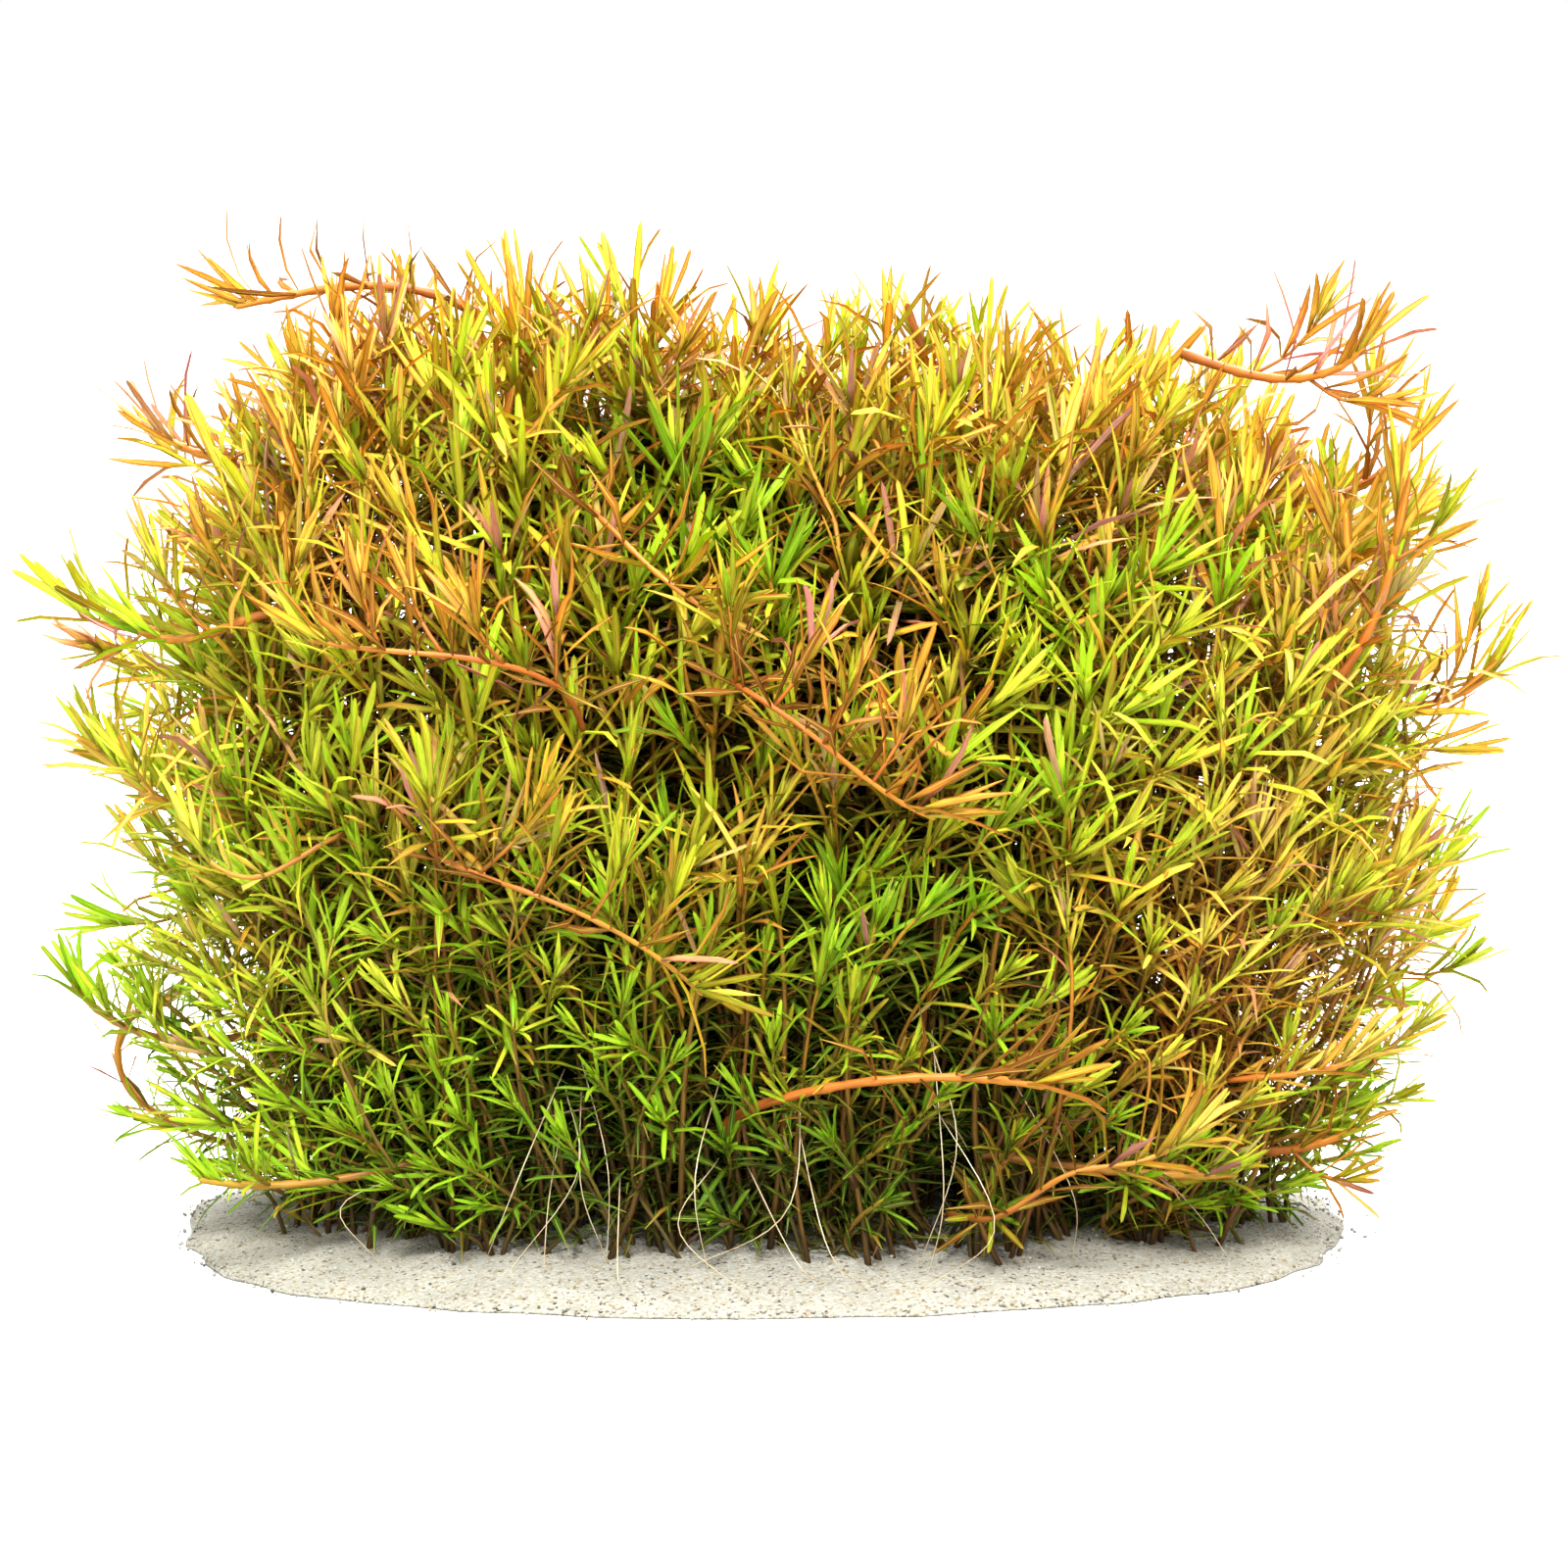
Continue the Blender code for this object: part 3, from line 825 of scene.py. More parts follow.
def growLeaves(rows, path, chance, vigour, lift, leafed, warm=0.0, addedDarkening=0.0, plan=shootPlan):
    d = np.array(plan["fromTip"]) * mm * (0.85 + 0.3 * chance.random())
    total = np.linalg.norm(np.diff(path, axis=0), axis=1).sum()
    number = np.arange(len(d))
    keep = d < min(leafed, total - 0.003)
    d, number = d[keep], number[keep]
    if len(d) == 0:
        return
    spots, heads, _ = fromTip(path, d)
    shootTone = chance.choice(plan["tones"]) + chance.normal(0, 0.09) + warm
    blushing = chance.random() < plan["blushing"]
    turn = chance.random() * math.tau
    plump = chance.uniform(0.80, 1.20)
    low = path[-1][2] < zones["smallBelow"] * chance.uniform(0.8, 1.1)
    form = "strap" if low or chance.random() < zones["straps"] else "lance"
    for k, spot, ahead in zip(number, spots, heads):
        count = plan["leaves"][k]
        e1 = unit(np.cross(ahead, (0.31, 0.23, 0.92)))
        e2 = np.cross(ahead, e1)
        around = turn + k * math.pi / 3 + math.tau * np.arange(count) / count
        around = around + chance.normal(0, 0.16, count)
        radial = e1 * np.cos(around)[:, None] + e2 * np.sin(around)[:, None]
        tilt = np.radians(plan["angle"][k] + chance.normal(0, 5 + min(k, 6), count))[:, None]
        lean = ahead * np.cos(tilt) + radial * np.sin(tilt)
        face = ahead * np.sin(tilt) - radial * np.cos(tilt)
        lean = unit(lean + up * lift * chance.uniform(0.6, 1.3, count)[:, None])
        face = unit(face - lean * (face * lean).sum(axis=1, keepdims=True))
        young = k < 2
        age = min(1.0, k / 9.0)
        zone = zoneWarmth(spot[0], spot[2]) + shootTone
        # the shoot's own added age, with the painted shade and backlight of the place
        darkening = addedDarkening + paintedShadeAndLight(spot[0], spot[2])
        shape = "bud" if young else form if k < plan["fullBlades"] else "inner"
        length = plan["length"][k] * mm * (vigour * chance.uniform(0.82, 1.15, count))
        width = plan["width"][k] * mm * vigour**0.7 * plump * chance.uniform(0.9, 1.1, count)
        curl = chance.normal(0.10, 0.06, count) if k < 3 else -chance.gamma(2.2, 0.13, count)
        curl = np.where(chance.random(count) < plan["upcurled"], -curl, curl)
        heart = 0.16 if k < 4 else 0.0
        aged = zone + 0.30 * (age - 0.35) * zone
        pinkShare = 0.45 if blushing and zone > 0.45 else 0.015
        keepLeaves(
            rows,
            shape,
            base=spot + radial * 0.0003,
            ahead=lean,
            face=face,
            length=length,
            width=width,
            bend=np.clip(curl, -0.75, 0.4),
            fold=chance.uniform(0.15, 0.6, count) * (1.3 if young else 1.0),
            twist=chance.normal(0, 0.35, count),
            sweep=chance.normal(0, 0.07, count),
            # the leaf's own age, with the painted shade and backlight of its place added
            age=np.clip(age + darkening + chance.normal(0, 0.10, count), 0, 1),
            warmth=np.clip(aged - heart + chance.normal(0, 0.10, count), 0, 1),
            blush=(chance.random(count) < pinkShare) * chance.uniform(0.4, 1.0, count),
            chance=chance.random(count),
        )


shade = {
    "spacing": 0.0070,
    "from": 0.012,
    "under": 0.020,  # how far under the tip they begin on the innermost stems
    "length": 0.0170,
    "width": 0.0028,
    "widerInside": 0.0042,
}


# dark, wide leaves on the inner part of a stem, under the ones that show: painted shade that fills the inside
# of the stand, so that no backdrop shows through
def growShadeFiller(rows, path, chance, leafed, inside):
    total = np.linalg.norm(np.diff(path, axis=0), axis=1).sum()
    first = leafed + (shade["under"] - leafed) * inside
    d = np.arange(first + shade["spacing"] / 2, total - shade["from"], shade["spacing"])
    if len(d) == 0:
        return
    spots, heads, _ = fromTip(path, d)
    count = len(d) * 3
    spots, heads = np.repeat(spots, 3, axis=0), np.repeat(heads, 3, axis=0)
    around = np.repeat(chance.random(len(d)) * math.tau, 3) + np.tile(np.arange(3) * math.tau / 3, len(d))
    e1 = unit(np.cross(heads, (0.31, 0.23, 0.92)))
    radial = e1 * np.cos(around)[:, None] + np.cross(heads, e1) * np.sin(around)[:, None]
    lean = unit(radial + heads * chance.uniform(-0.1, 0.7, count)[:, None])
    wide = shade["width"] + shade["widerInside"] * inside
    keepLeaves(
        rows,
        "shadeFiller",
        base=spots,
        ahead=lean,
        face=unit(heads - lean * (heads * lean).sum(axis=1, keepdims=True)),
        length=shade["length"] * chance.uniform(0.7, 1.15, count),
        width=wide * chance.uniform(0.7, 1.2, count),
        bend=np.zeros(count),
        fold=np.zeros(count),
        twist=chance.normal(0, 0.5, count),
        sweep=chance.normal(0, 0.08, count),
        # painted shade: the filler leaves get the darkest ages and, through a halved chance, a lower tone
        age=chance.uniform(0.75, 1.0, count),
        warmth=np.clip(zoneWarmth(spots[:, 0], spots[:, 2]) * 0.6, 0, 1),
        blush=np.zeros(count),
        chance=chance.random(count) * 0.5,
    )


def leafParts(rows, patterns):
    parts = []
    for form, store in rows.items():
        gathered = {}
        for key, values in store.items():
            gathered[key] = np.concatenate([np.atleast_1d(v) for v in values])
        parts.append(placeLeaves(patterns[form], gathered))
    return parts


def smoothPath(points, count):
    points = np.asarray(points, float)
    padded = np.vstack([2 * points[0] - points[1], points, 2 * points[-1] - points[-2]])
    t = np.linspace(0, len(points) - 1, count)
    i = np.minimum(t.astype(int), len(points) - 2)
    u = (t - i)[:, None]
    p0, p1, p2, p3 = (padded[i + k] for k in range(4))
    return 0.5 * (
        2 * p1 + (p2 - p0) * u + (2 * p0 - 5 * p1 + 4 * p2 - p3) * u**2 + (3 * p1 - p0 - 3 * p2 + p3) * u**3
    )


twigs = {
    "tipSpacing": 0.0094,
    "candidates": 13000,
    # how high the tips stand across the stand, as a share of its height
    "topAcross": (-0.085, -0.074, -0.050, -0.028, -0.012, 0.000, 0.022, 0.045, 0.060, 0.074, 0.085, 0.095),
    "topShares": (0.83, 0.895, 0.925, 0.92, 0.90, 0.88, 0.885, 0.87, 0.85, 0.79, 0.70, 0.60),
    "topHalfWidth": 0.080,
    # how far out the ring of outer tips is at each height, on the left and on the right
    "wallHeights": (0.008, 0.022, 0.045, 0.070, 0.100, 0.130, 0.150, 0.168),
    "wallLeft": (0.097, 0.103, 0.098, 0.089, 0.086, 0.085, 0.078, 0.066),
    "wallRight": (0.093, 0.100, 0.096, 0.091, 0.088, 0.088, 0.078, 0.066),
    "skirtDepth": 0.003,
    "sparseBelow": 0.026,
    "sparseHalfWidth": 0.055,
    "straying": 0.13,  # share of the tips that stand out from the rest, and how far
    "strayReach": 0.009,
    "stemRadius": 0.00046,
    "leafedInside": 0.046,
    "leafedOutside": 0.100,
    "footSpread": 0.0045,
    "lean": 0.0065,
    "leanOver": 0.024,
    "sides": 4,
    "steps": 11,
}


# tips spread evenly over the outside of the stand, in the coordinates that opened() takes,
# each with the way it leans out
def standTips(s):
    chance = np.random.default_rng(21)
    wide, deep = s["topHalfWidth"], stand["halfDepth"] + stand["rim"]
    half = s["candidates"] // 2
    out, angle = np.sqrt(chance.random(half)), chance.random(half) * math.tau
    top = np.stack([wide * out * np.cos(angle), deep * out * np.sin(angle), np.zeros(half)], axis=1)
    top[:, 2] = tipTop(top[:, 0], top[:, 1]) - chance.random(half) ** 2 * 0.014
    top[:, 2] += (chance.random(half) < s["straying"]) * chance.uniform(0.3, 1.0, half) * s["strayReach"]
    angle = chance.random(half) * math.tau
    wall = np.stack([wide * np.cos(angle), deep * np.sin(angle), np.zeros(half)], axis=1)
    low = moundHeight(bedShare(wall[:, 0], wall[:, 1])) + 0.006
    wall[:, 2] = low + (tipTop(wall[:, 0], wall[:, 1]) - low) * chance.random(half)
    stray = (chance.random(half) < s["straying"]) * chance.uniform(0.3, 1.0, half) * s["strayReach"]
    sides = [np.interp(wall[:, 2], s["wallHeights"], s[side]) for side in ("wallLeft", "wallRight")]
    around = np.where(np.cos(angle) < 0, sides[0], sides[1])
    wall[:, 0] = np.cos(angle) * (around + stray)
    wall[:, 1] += np.sin(angle) * s["skirtDepth"] * np.clip(1 - wall[:, 2] / 0.06, 0, 1)
    pool = np.vstack([top, wall])
    away = np.stack([pool[:, 0] / wide**2, pool[:, 1] / deep**2], axis=1)
    steep = np.clip(np.linalg.norm(away, axis=1) * 0.045, 0, 1)
    steep[half:] = 1.0
    leaning = unit(away) * (steep * s["lean"])[:, None]
    leaning = leaning + chance.normal(0, s["lean"] * 0.95, leaning.shape)
    order = chance.permutation(2 * half)
    pool, leaning = pool[order], leaning[order]
    # the foot of the stand is sparse in the middle, where it is dark
    dark = (pool[:, 2] < s["sparseBelow"]) & (np.abs(pool[:, 0] - 0.005) < s["sparseHalfWidth"])
    thinned = ~(dark & (chance.random(len(pool)) < 0.985))
    pool, leaning = pool[thinned], leaning[thinned]
    opening = opened(pool)
    kept, room = [], s["tipSpacing"] * chance.uniform(0.80, 1.14, len(pool))
    for number, place in enumerate(opening):
        near = opening[kept] - place if kept else np.empty((0, 3))
        if not len(near) or (near**2).sum(axis=1).min() > room[number] ** 2:
            kept.append(number)
    return pool[kept], leaning[kept], np.hypot(pool[kept, 0] / wide, pool[kept, 1] / deep)


def twigPath(foot, tip, leaning, chance, steps):
    s = (np.linspace(0, 1, steps) ** 0.8)[:, None]
    height = tip[2] - foot[2]
    flat = foot[None, :2] + (tip - foot)[None, :2] * s**1.7
    path = opened(np.hstack([flat, foot[2] + height * s]))
    over = min(twigs["leanOver"], height)
    bow = np.clip((s * height - height + over) / over, 0, 1) ** 2
    path[:, :2] += leaning * (bow - 1) * np.clip(s * 3, 0, 1)
    sway = chance.normal(0, 0.0018, 2) * min(1.0, height / 0.06)
    path[:, :2] += np.sin(math.pi * s * chance.uniform(1.2, 2.6)) * sway * (1 - s * 0.5)
    return path


def growPlants(names, patterns, materials):
    spots = np.array([plantSpot(name) for name in names])
    tips, leaning, outness = standTips(twigs)
    owner = ((tips[:, None, :2] - spots[None]) ** 2).sum(axis=2).argmin(axis=1)
    print("shoot tips on the stand:", len(tips))
    for number, name in enumerate(names):
        chance = np.random.default_rng([31, number])
        rows, parts = {}, []
        for which in np.flatnonzero(owner == number):
            tip = tips[which]
            foot = tip[:2] * 0.86 + chance.normal(0, twigs["footSpread"], 2)
            away = foot - spots[number]
            foot = spots[number] + away * min(1.0, 0.013 / max(1e-6, math.hypot(*away)))
            foot = np.array((*foot, moundHeight(bedShare(*foot)) - 0.0015))
            path = twigPath(foot, tip, leaning[which], chance, twigs["steps"])
            low = float(np.clip(path[-1][2] / 0.085, 0.55, 1.0))
            outer = float(np.clip((outness[which] - 0.45) / 0.3, 0, 1))
            leafed = twigs["leafedInside"] + (twigs["leafedOutside"] - twigs["leafedInside"]) * outer
            growLeaves(rows, path, chance, low * chance.uniform(0.85, 1.12), 0.08, leafed)
            growShadeFiller(rows, path, chance, leafed, 1 - outer)
            radii = twigs["stemRadius"] * chance.uniform(0.8, 1.3) * np.linspace(1.1, 0.75, len(path))
            warm = float(np.clip(zoneWarmth(path[-1][0], path[-1][2]) + chance.normal(0, 0.2), 0, 1))
            tones = stemTones(chance, (1.0, 0.15), (warm * 0.5, warm))
            parts.append(placeTube(path, radii, twigs["sides"], tones, 1))
        parts += leafParts(rows, patterns)
        finishPiece(name + "_foliage", parts, materials, name)
    print("plants grown")


def finishPiece(name, parts, materials, *nodes):
    piece = joinParts(name, parts, materials)
    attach(piece, "root")
    if nodes:
        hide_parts(*nodes)
    return piece


# ---- side shoots, along the lines of their solids

sideShoots = {
    # plant it leaves, whorl over which it forks, bearing and its turn,
    # pitch at the fork, half way and at the tip, length
    "left_shoot_01": ("plant_10", 8, 180, 0, 25, -5, -12, 0.040),
    "left_shoot_02": ("plant_31", 6, 178, 0, 20, 16, 40, 0.022),
    "left_shoot_03": ("plant_18", 5, 182, 0, -22, -14, 30, 0.042),
    "left_shoot_04": ("plant_26", 5, 184, 0, -12, -16, 30, 0.024),
    "left_shoot_05": ("plant_31", 4, 174, 0, 10, 0, 8, 0.022),
    "left_shoot_06": ("plant_18", 3, 180, 0, 0, 6, 38, 0.036),
    "left_shoot_07": ("plant_26", 3, 182, 0, 5, 15, 42, 0.024),
    "left_shoot_08": ("plant_31", 2, 178, 0, 0, 15, 40, 0.021),
    "left_shoot_09": ("plant_18", 1, 182, 0, -24, 2, 58, 0.049),
    "left_shoot_10": ("plant_31", 0, 176, 0, -18, 26, 190, 0.060),
    "left_shoot_11": ("plant_21", 0, 192, 0, -12, -6, 14, 0.046),
    "right_shoot_01": ("plant_14", 7, -28, 0, -16, 4, 48, 0.030),
    "right_shoot_02": ("plant_22", 6, 0, 0, 22, 34, 50, 0.018),
    "right_shoot_03": ("plant_30", 5, 4, 0, 26, 30, 36, 0.030),
    "right_shoot_04": ("plant_27", 4, 2, 0, 36, 70, 88, 0.042),
    "right_shoot_05": ("plant_22", 4, 0, 0, 2, 12, 42, 0.030),
    "right_shoot_06": ("plant_22", 2, 2, 0, 8, 22, 44, 0.026),
    "right_shoot_07": ("plant_27", 2, -2, 0, 20, 30, 50, 0.022),
    "right_shoot_08": ("plant_30", 1, 2, 0, -8, 22, 62, 0.042),
    "right_shoot_09": ("plant_22", 0, -2, 0, -6, 8, 22, 0.020),
    "right_shoot_10": ("plant_27", 0, -8, 0, -14, 10, 28, 0.024),
    "right_shoot_11": ("plant_32", 0, 2, 0, -8, -6, 2, 0.042),
    "front_shoot_01": ("plant_16", 0, -94, 98, 34, 10, -12, 0.067),
    "front_shoot_02": ("plant_29", 4, -110, -72, 50, 8, 14, 0.052),
    "front_shoot_03": ("plant_16", 4, -84, 87, 2, -38, -20, 0.046),
    "front_shoot_04": ("plant_21", 3, -100, 104, -6, -20, -46, 0.064),
}

sideLook = {
    "stemRadius": 0.00080,
    "sides": 8,
    "lift": 0.75,
    "steps": 40,
    "branchlets": {
        "from": 0.012,
        "clear": 0.004,
        "spacing": 0.0105,
        "length": (0.011, 0.020),
        "radius": 0.00036,
        "sides": 5,
    },
    "plain": ("front_shoot_01", "left_shoot_01", "left_shoot_10"),  # these carry no branchlets
    # stem radius, added warmth, leafy share and added age of the shoots that differ from the rest
    "special": {
        "front_shoot_01": (0.00085, 0.55, 0.42, 0.38),
        "front_shoot_02": (0.00052, 0.3, 0.9, 0.16),
        "front_shoot_03": (0.00048, 0.35, 1.0, 0.20),
        "front_shoot_04": (0.00046, 0.25, 1.0, 0.14),
        "left_shoot_10": (0.00080, 0.30, 0.8, 0.20),
        "right_shoot_10": (0.00080, 0.45, 1.0, 0.25),
    },
}


def pitchAt(share, pitches):
    fork, middle, tip = (math.radians(p) for p in pitches)
    low = fork * (1 - share) * (1 - 2 * share) + middle * 4 * share * (1 - share)
    return low + tip * share * (2 * share - 1)


def heading(bearing, pitch):
    return np.array(
        (math.cos(pitch) * math.cos(bearing), math.cos(pitch) * math.sin(bearing), math.sin(pitch))
    )


def bearingAt(share, bearing, turn):
    return math.radians(bearing + turn * (1 - (1 - share) ** 3))


def forkHeight(spot, whorl):
    first = moundHeight(bedShare(*spot)) + stand["bareFoot"]
    top = standTop(*spot)
    count = max(2, round(float((top - first) / stand["whorlSpacing"])))
    return float(first + (whorl + 0.6) * (top - first) / count)


def sidePath(name, host, whorl, bearing, turn, pitches, length, steps):
    spot = plantSpot(host)
    axis = opened(np.array((*spot, forkHeight(spot, whorl))))
    ahead = heading(bearingAt(0, bearing, turn), pitchAt(0, pitches))
    off = meshPoints(frame["nodes"][name].data) - axis
    along = off @ ahead
    beside = np.linalg.norm(off - along[:, None] * ahead, axis=1)
    clear = along[(beside < 0.0013) & (along > -0.001)].min()
    points = [axis + ahead * clear * share for share in (0.0, 0.33, 0.67)]
    centre = axis + ahead * clear
    points.append(centre)
    for step in range(steps):
        centre = centre + ahead * length / steps
        share = (step + 1) / steps
        ahead = heading(bearingAt(share, bearing, turn), pitchAt(share, pitches))
        points.append(centre)
    return np.array(points)


def growSideShoots(patterns, materials):
    for number, (name, (host, whorl, bearing, turn, *pitches, length)) in enumerate(sideShoots.items()):
        chance = np.random.default_rng([41, number])
        path = sidePath(name, host, whorl, bearing, turn, pitches, length, sideLook["steps"])
        radius, warm, leafy, addedDarkening = sideLook["special"].get(name, (sideLook["stemRadius"], 0.08, 1.0, 0.08))
        rows = {}
        low = float(np.clip(path[-1][2] / 0.06, 0.72, 1.0)) if turn == 0 else 1.0
        growLeaves(rows, path, chance, low * 1.02, sideLook["lift"], (length + 0.006) * leafy, warm, addedDarkening)
        stems = [shootStem(path, radius, sideLook["sides"], chance, warm + 0.04)]
        if name not in sideLook["plain"]:
            upward = 0.9 if turn else 0.15
            stems += growBranchlets(rows, path, chance, low, warm, addedDarkening, upward)
        finishPiece(name + "_foliage", stems + leafParts(rows, patterns), materials, name)
    print("side shoots grown")


# short leafy twigs that leave the nodes of a side shoot
def growBranchlets(rows, path, chance, low, warm, addedDarkening, upward):
    plan = sideLook["branchlets"]
    total = np.linalg.norm(np.diff(path, axis=0), axis=1).sum()
    stems = []
    for distance in np.arange(plan["from"], total - plan["clear"], plan["spacing"]):
        spot, ahead, _ = fromTip(path, distance)
        reach = chance.uniform(*plan["length"]) * low
        out = unit(np.cross(ahead, chance.normal(size=3)))
        way = unit(ahead * 0.5 + out * 0.8 * (1 - 0.5 * upward) + up * upward)
        middle = spot + way * reach * 0.5
        line = smoothPath([spot, middle, middle + unit(way + up * 0.5) * reach * 0.5], 7)
        growLeaves(rows, line, chance, low * 0.88, 0.3, reach, warm, addedDarkening)
        radii = plan["radius"] * np.linspace(1.1, 0.8, len(line))
        tone = float(np.clip(zoneWarmth(spot[0], spot[2]) + warm, 0, 1))
        tones = stemTones(chance, (0.6, 0.1), (tone, tone))
        stems.append(placeTube(line, radii, plan["sides"], tones, 1))
    return stems


def shootStem(path, radius, sides, chance, warm):
    run = np.linspace(0, 1, len(path))
    radii = radius * (1.1 - 0.35 * run)
    length = np.linalg.norm(np.diff(path, axis=0), axis=1).sum()
    nodes = (1 - run) * length
    for distance in np.array(shootPlan["fromTip"][4:]) * mm:
        radii = radii + radius * 0.28 * np.exp(-(((nodes - distance) / 0.0007) ** 2))
    tone = float(np.clip(zoneWarmth(path[-1][0], path[-1][2]) + 0.2 + warm, 0, 1))
    return placeTube(path, radii, sides, stemTones(chance, (0.75, 0.1), (tone, tone)), 1)


# ---- twigs that lie over the front of the stand

frontTwigs = {
    # radius in mm, added warmth, share that has leaves,
    # and points of the stem in mm from where it leaves the stand to its tip
    "front_twig_01": (
        (0.5, 0.0, 1.0),
        ((-66, -34, 80), (-76, -44, 77), (-87, -48, 71.5), (-95, -47, 73), (-100, -45, 79)),
    ),
    "front_twig_02": ((0.5, 0.25, 0.9), ((-36, -22, 136), (-30, -36, 132), (-20, -44, 123), (-10, -49, 116))),
    "front_twig_03": (
        (0.5, 0.1, 0.9),
        ((30, -44, 12), (38, -56, 14), (50, -59, 22), (62, -58, 24), (70, -56, 27)),
    ),
    "front_twig_04": ((0.6, 0.45, 0.9), ((66, -26, 32), (78, -36, 34), (92, -40, 36), (100, -40, 38))),
}


def growFrontTwigs(patterns, materials):
    for number, (name, ((radius, warm, leafy), points)) in enumerate(frontTwigs.items()):
        chance = np.random.default_rng([51, number])
        path = smoothPath(np.array(points) * mm, 44)
        length = np.linalg.norm(np.diff(path, axis=0), axis=1).sum()
        rows = {}
        growLeaves(rows, path, chance, 1.0, 0.7, length * leafy, warm)
        stem = shootStem(path, radius * mm, 8, chance, warm)
        finishPiece(name, [stem] + leafParts(rows, patterns), materials)
    print("front twigs grown")


# ---- water roots

waterRoots = {
    "count": 28,
    "inFront": 18,  # how many hang at the front
    "frontSpread": 0.9,
    "radius": 0.00010,
    "sides": 4,
    "ring": (0.078, 0.050),  # half width and depth of the ring that they hang in
    "rise": (0.018, 0.045),
    "reach": (0.002, 0.012),
    "belly": (0.003, 0.010),
}


def growRoots(materials):
    chance = np.random.default_rng(61)
    parts = []
    wide, deep = waterRoots["ring"]
    for number in range(waterRoots["count"]):
        if number < waterRoots["inFront"]:
            angle = -math.pi / 2 + chance.normal(0, waterRoots["frontSpread"])
        else:
            angle = chance.random() * math.tau
        foot = opened(np.array((wide * math.cos(angle), deep * math.sin(angle), 0.0)))
        outward = np.array((math.cos(angle), math.sin(angle) * 1.4, 0.0))
        rise = chance.uniform(*waterRoots["rise"])
        start = foot * 0.92 + outward * 0.002 + up * rise
        end = foot + outward * chance.uniform(*waterRoots["reach"])
        end[0] += chance.normal(0, 0.008)
        end[2] = moundHeight(bedShare(end[0], end[1])) - 0.0006
        belly = (start + end) / 2 + outward * chance.uniform(*waterRoots["belly"])
        belly = belly + up * chance.normal(0, 0.003)
        belly[0] += chance.normal(0, 0.006)
        path = smoothPath([start, belly, end], 14)
        radii = waterRoots["radius"] * np.linspace(1.2, 0.7, len(path))
        tones = stemTones(chance, (0, 1), (0, 0))
        parts.append(placeTube(path, radii, waterRoots["sides"], tones, 2))
    finishPiece("water_roots", parts, materials)
    print("water roots grown")


# ---- the bed of sand


def signedPower(value, power):
    return np.sign(value) * np.abs(value) ** power


def bedOutline(x, y):
    # moves points of a unit disc to the bed's squarish outline
    out, angle = np.hypot(x, y), np.arctan2(y, x)
    ripple = 1 + out * (0.014 * np.sin(3 * angle + 1) + 0.010 * np.sin(7 * angle))
    ripple = ripple + out**4 * (0.006 * np.sin(19 * angle + 2) + 0.005 * np.sin(31 * angle))
    across = signedPower(np.cos(angle), 2 / bed["squareness"]) * out * ripple
    along = signedPower(np.sin(angle), 2 / bed["squareness"]) * out * ripple
    return bed["centreX"] + bed["halfWidth"] * across, bed["halfDepth"] * along


def layBed(material):
    bpy.ops.object.select_all(action="DESELECT")
    bpy.ops.mesh.primitive_circle_add(vertices=bed["sides"], radius=1.0, fill_type="NGON", location=(0, 0, 0))
    sand = bpy.context.object
    sand.name = "sand_surface"
    bpy.ops.object.mode_set(mode="EDIT")
    bpy.ops.mesh.select_all(action="SELECT")
    last = 1.0
    bpy.ops.mesh.extrude_region_move(TRANSFORM_OT_translate={"value": (0, 0, bed["lip"])})
    for share in bed["ringShares"]:
        bpy.ops.mesh.extrude_region_move(TRANSFORM_OT_translate={"value": (0, 0, 0.0001)})
        bpy.ops.transform.resize(value=(share / last, share / last, 1.0))
        last = share
    bpy.ops.mesh.poke()
    bpy.ops.mesh.select_all(action="SELECT")
    bpy.ops.mesh.normals_make_consistent(inside=False)
    bpy.ops.object.mode_set(mode="OBJECT")

    points = meshPoints(sand.data)
    share = np.hypot(points[:, 0], points[:, 1])
    top = points[:, 2] > bed["lip"] * 0.5
    points[:, 0], points[:, 1] = bedOutline(points[:, 0], points[:, 1])
    points[top, 2] = moundHeight(share[top]) - bed["thinned"] * np.clip((share[top] - 0.9) / 0.1, 0, 1)
    sand.data.vertices.foreach_set("co", points.ravel())
    group = sand.vertex_groups.new(name="top")
    for corner in np.flatnonzero(top & (share < 0.99)):
        group.add([int(corner)], float(min(1.0, (1 - share[corner]) * 12)), "REPLACE")

    hollows = bpy.data.textures.new("sandHollows", "CLOUDS")
    hollows.noise_scale = 0.016
    wear = sand.modifiers.new("hollows", "DISPLACE")
    wear.texture = hollows
    wear.texture_coords = "LOCAL"
    wear.direction = "Z"
    wear.vertex_group = "top"
    wear.strength = bed["ripple"] * 2
    wear.mid_level = 0.5
    bpy.ops.object.modifier_apply(modifier="hollows")
    bpy.ops.object.shade_smooth()
    sand.data.materials.append(material)
    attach(sand, "root")
    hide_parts("sand_bed")
    print("bed laid")
    return sand


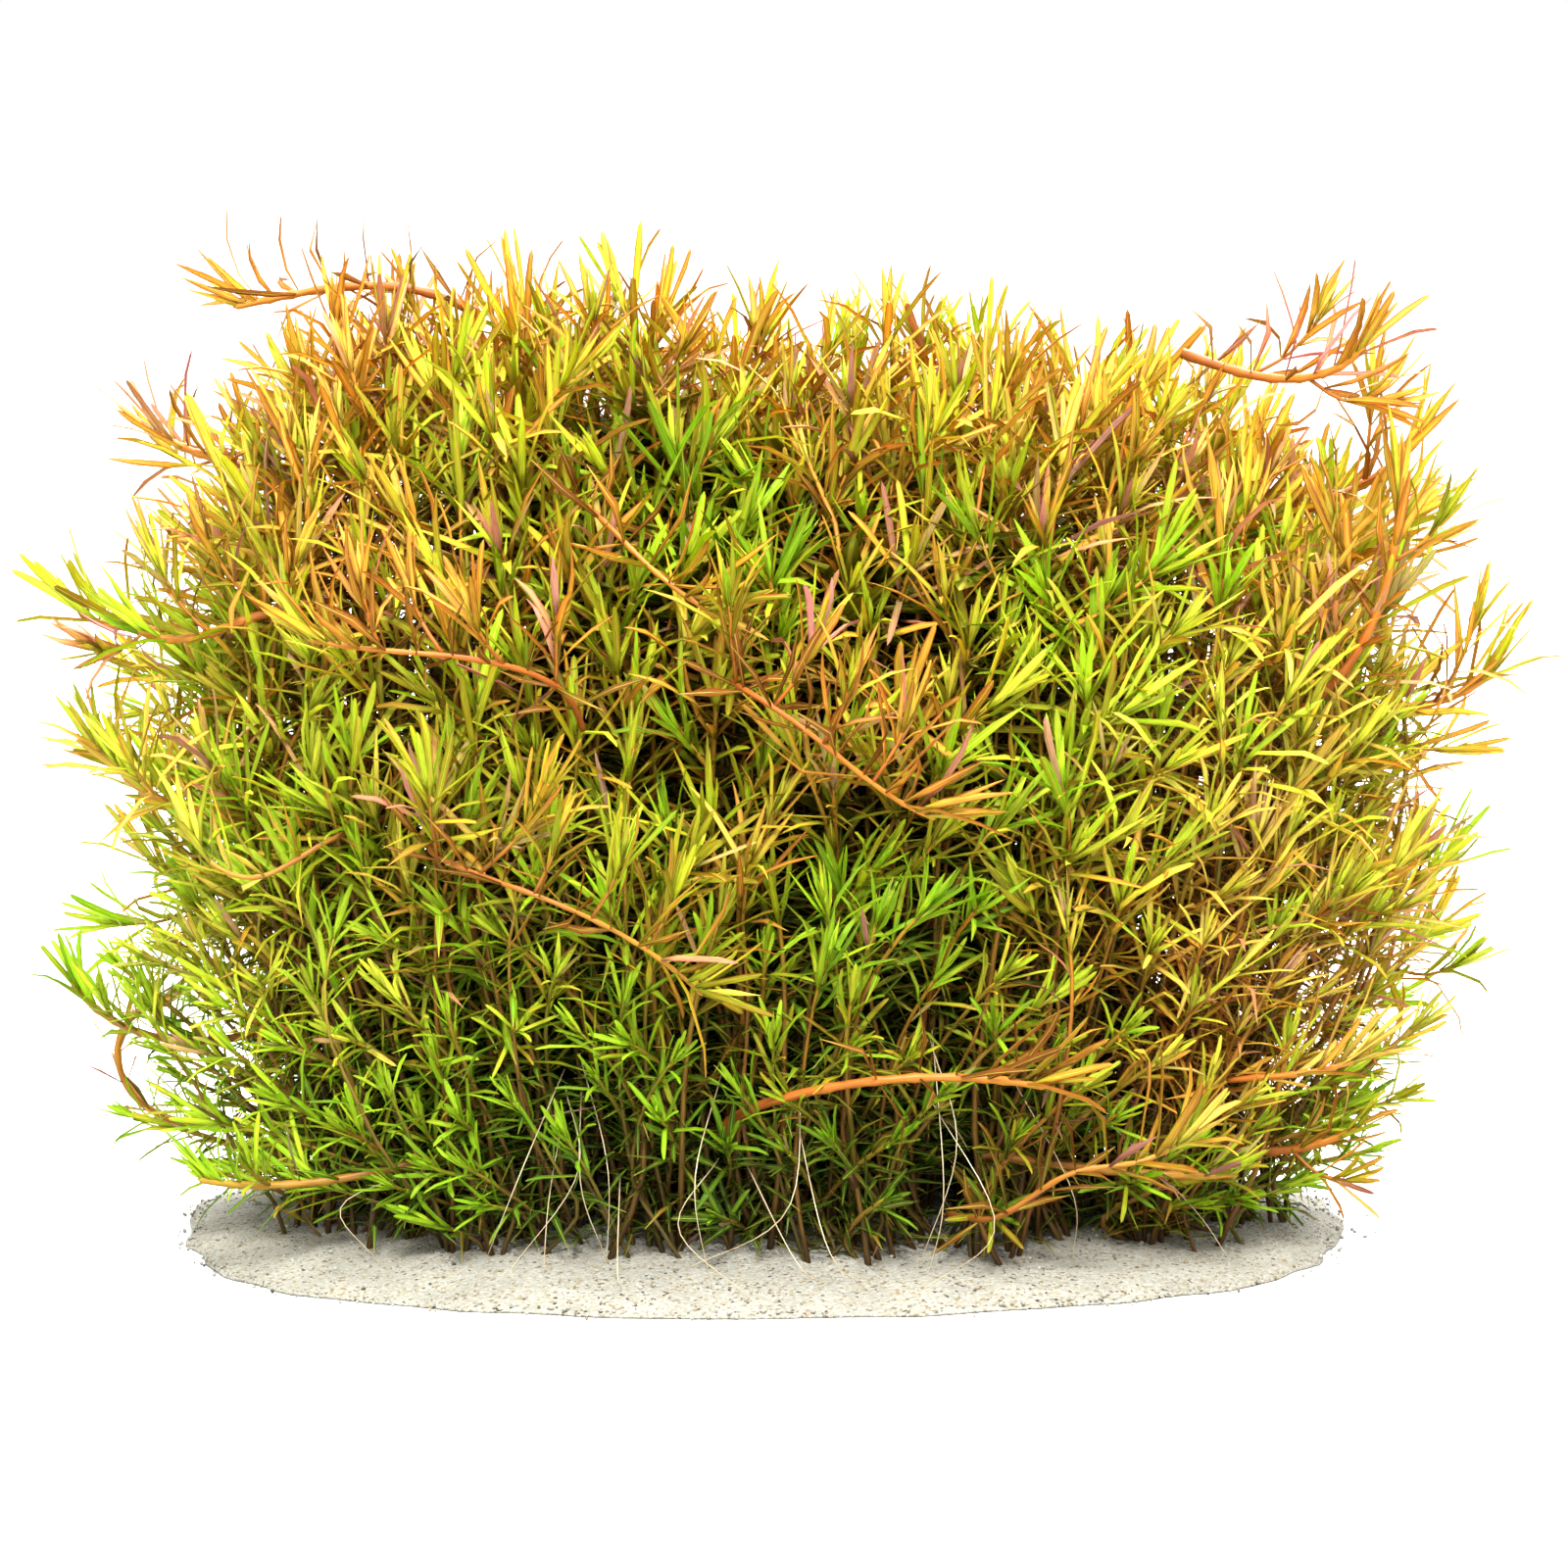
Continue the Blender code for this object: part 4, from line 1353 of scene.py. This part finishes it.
def scatterGrains(sand, material):
    bpy.ops.object.select_all(action="DESELECT")
    bpy.ops.mesh.primitive_ico_sphere_add(subdivisions=1, radius=1.0, location=(0, 0, 0))
    grain = bpy.context.object
    bpy.ops.object.mode_set(mode="EDIT")
    bpy.ops.mesh.select_all(action="SELECT")
    bpy.ops.transform.vertex_random(offset=0.18, seed=3)
    bpy.ops.object.mode_set(mode="OBJECT")
    shape = meshPoints(grain.data)
    faces = np.array([face.vertices[:] for face in grain.data.polygons])
    bpy.data.objects.remove(grain, do_unlink=True)

    chance = np.random.default_rng(71)
    count = bed["grainCount"]
    out = np.sqrt(chance.random(count) * (1 - 0.30) + 0.30) * 0.985
    loose = np.arange(count) < bed["strayGrains"]
    out = np.where(loose, 0.975 + 0.012 * chance.gamma(1.6, 1.0, count), out)
    angle = chance.random(count) * math.tau
    x, y = bedOutline(out * np.cos(angle), out * np.sin(angle))
    small, large = bed["grainSize"]
    size = small + (large - small) * chance.random(count) ** 2.4
    surface = meshPoints(sand.data)
    near = (surface[None, :, 0] - x[:, None]) ** 2 + (surface[None, :, 1] - y[:, None]) ** 2
    near[:, surface[:, 2] < bed["lip"] * 0.5] = 1.0
    order = np.argpartition(near, 3, axis=1)[:, :3]
    weight = 1 / (np.take_along_axis(near, order, axis=1) + 1e-9)
    z = (surface[order, 2] * weight).sum(axis=1) / weight.sum(axis=1)
    squash = chance.uniform(0.6, 1.0, (count, 3)) * size[:, None]
    a, b = unit(chance.normal(size=(count, 3))), unit(chance.normal(size=(count, 3)))
    b = unit(b - a * (a * b).sum(axis=1, keepdims=True))
    turn = np.stack([a, b, np.cross(a, b)], axis=2)
    placed = np.einsum("nij,nvj->nvi", turn, shape[None] * squash[:, None, :])
    z = np.where(out > 1.0, 0.00001 - placed[..., 2].min(axis=1), z + size * 0.15)
    placed += np.stack([x, y, z], axis=1)[:, None]
    corners = faces.ravel()[None] + (np.arange(count) * len(shape))[:, None]
    part = {
        "points": placed.reshape(-1, 3),
        "corners": corners.ravel(),
        "starts": np.arange(count * len(faces)) * 3,
        "uvs": np.zeros((count * len(faces) * 3, 2)),
        "margin": np.zeros(count * len(shape), bool),
        "material": np.zeros(count * len(faces), int),
        "chance": np.repeat(chance.random(count), len(shape)),
    }
    for tone in ("age", "warmth", "blush"):
        part[tone] = np.zeros(count * len(shape))
    piece = joinParts("sand_grains", [part], [material])
    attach(piece, "root")
    print("grains scattered")


# ---- everything in its order

setStudio(studio)
fibreGroup = makeFibreGroup()
grainGroup = makeGrainGroup()
plantMaterials = [
    makeLeafMaterial(leafLook, fibreGroup),
    makeStemMaterial(stemLook, fibreGroup),
    makeRootMaterial(rootLook, fibreGroup),
]
print("materials made")

leafPatterns = {name: modelLeaf(name, form) for name, form in leafForms.items()}
print("leaf patterns modelled")

plantNames = sorted(name for name in frame["nodes"] if name.startswith("plant_"))
growPlants(plantNames, leafPatterns, plantMaterials)
growSideShoots(leafPatterns, plantMaterials)
growFrontTwigs(leafPatterns, plantMaterials)
growRoots(plantMaterials)
sandSurface = layBed(makeSandMaterial(sandLook, grainGroup))
scatterGrains(sandSurface, makeGrainMaterial(grainLook, grainGroup))

triangles = {}
for piece in bpy.context.scene.objects:
    if piece.type == "MESH" and not piece.hide_render:
        triangles[piece.name] = sum(len(face.vertices) - 2 for face in piece.data.polygons)
print("triangles in all:", sum(triangles.values()), "most in one piece:", max(triangles.values()))
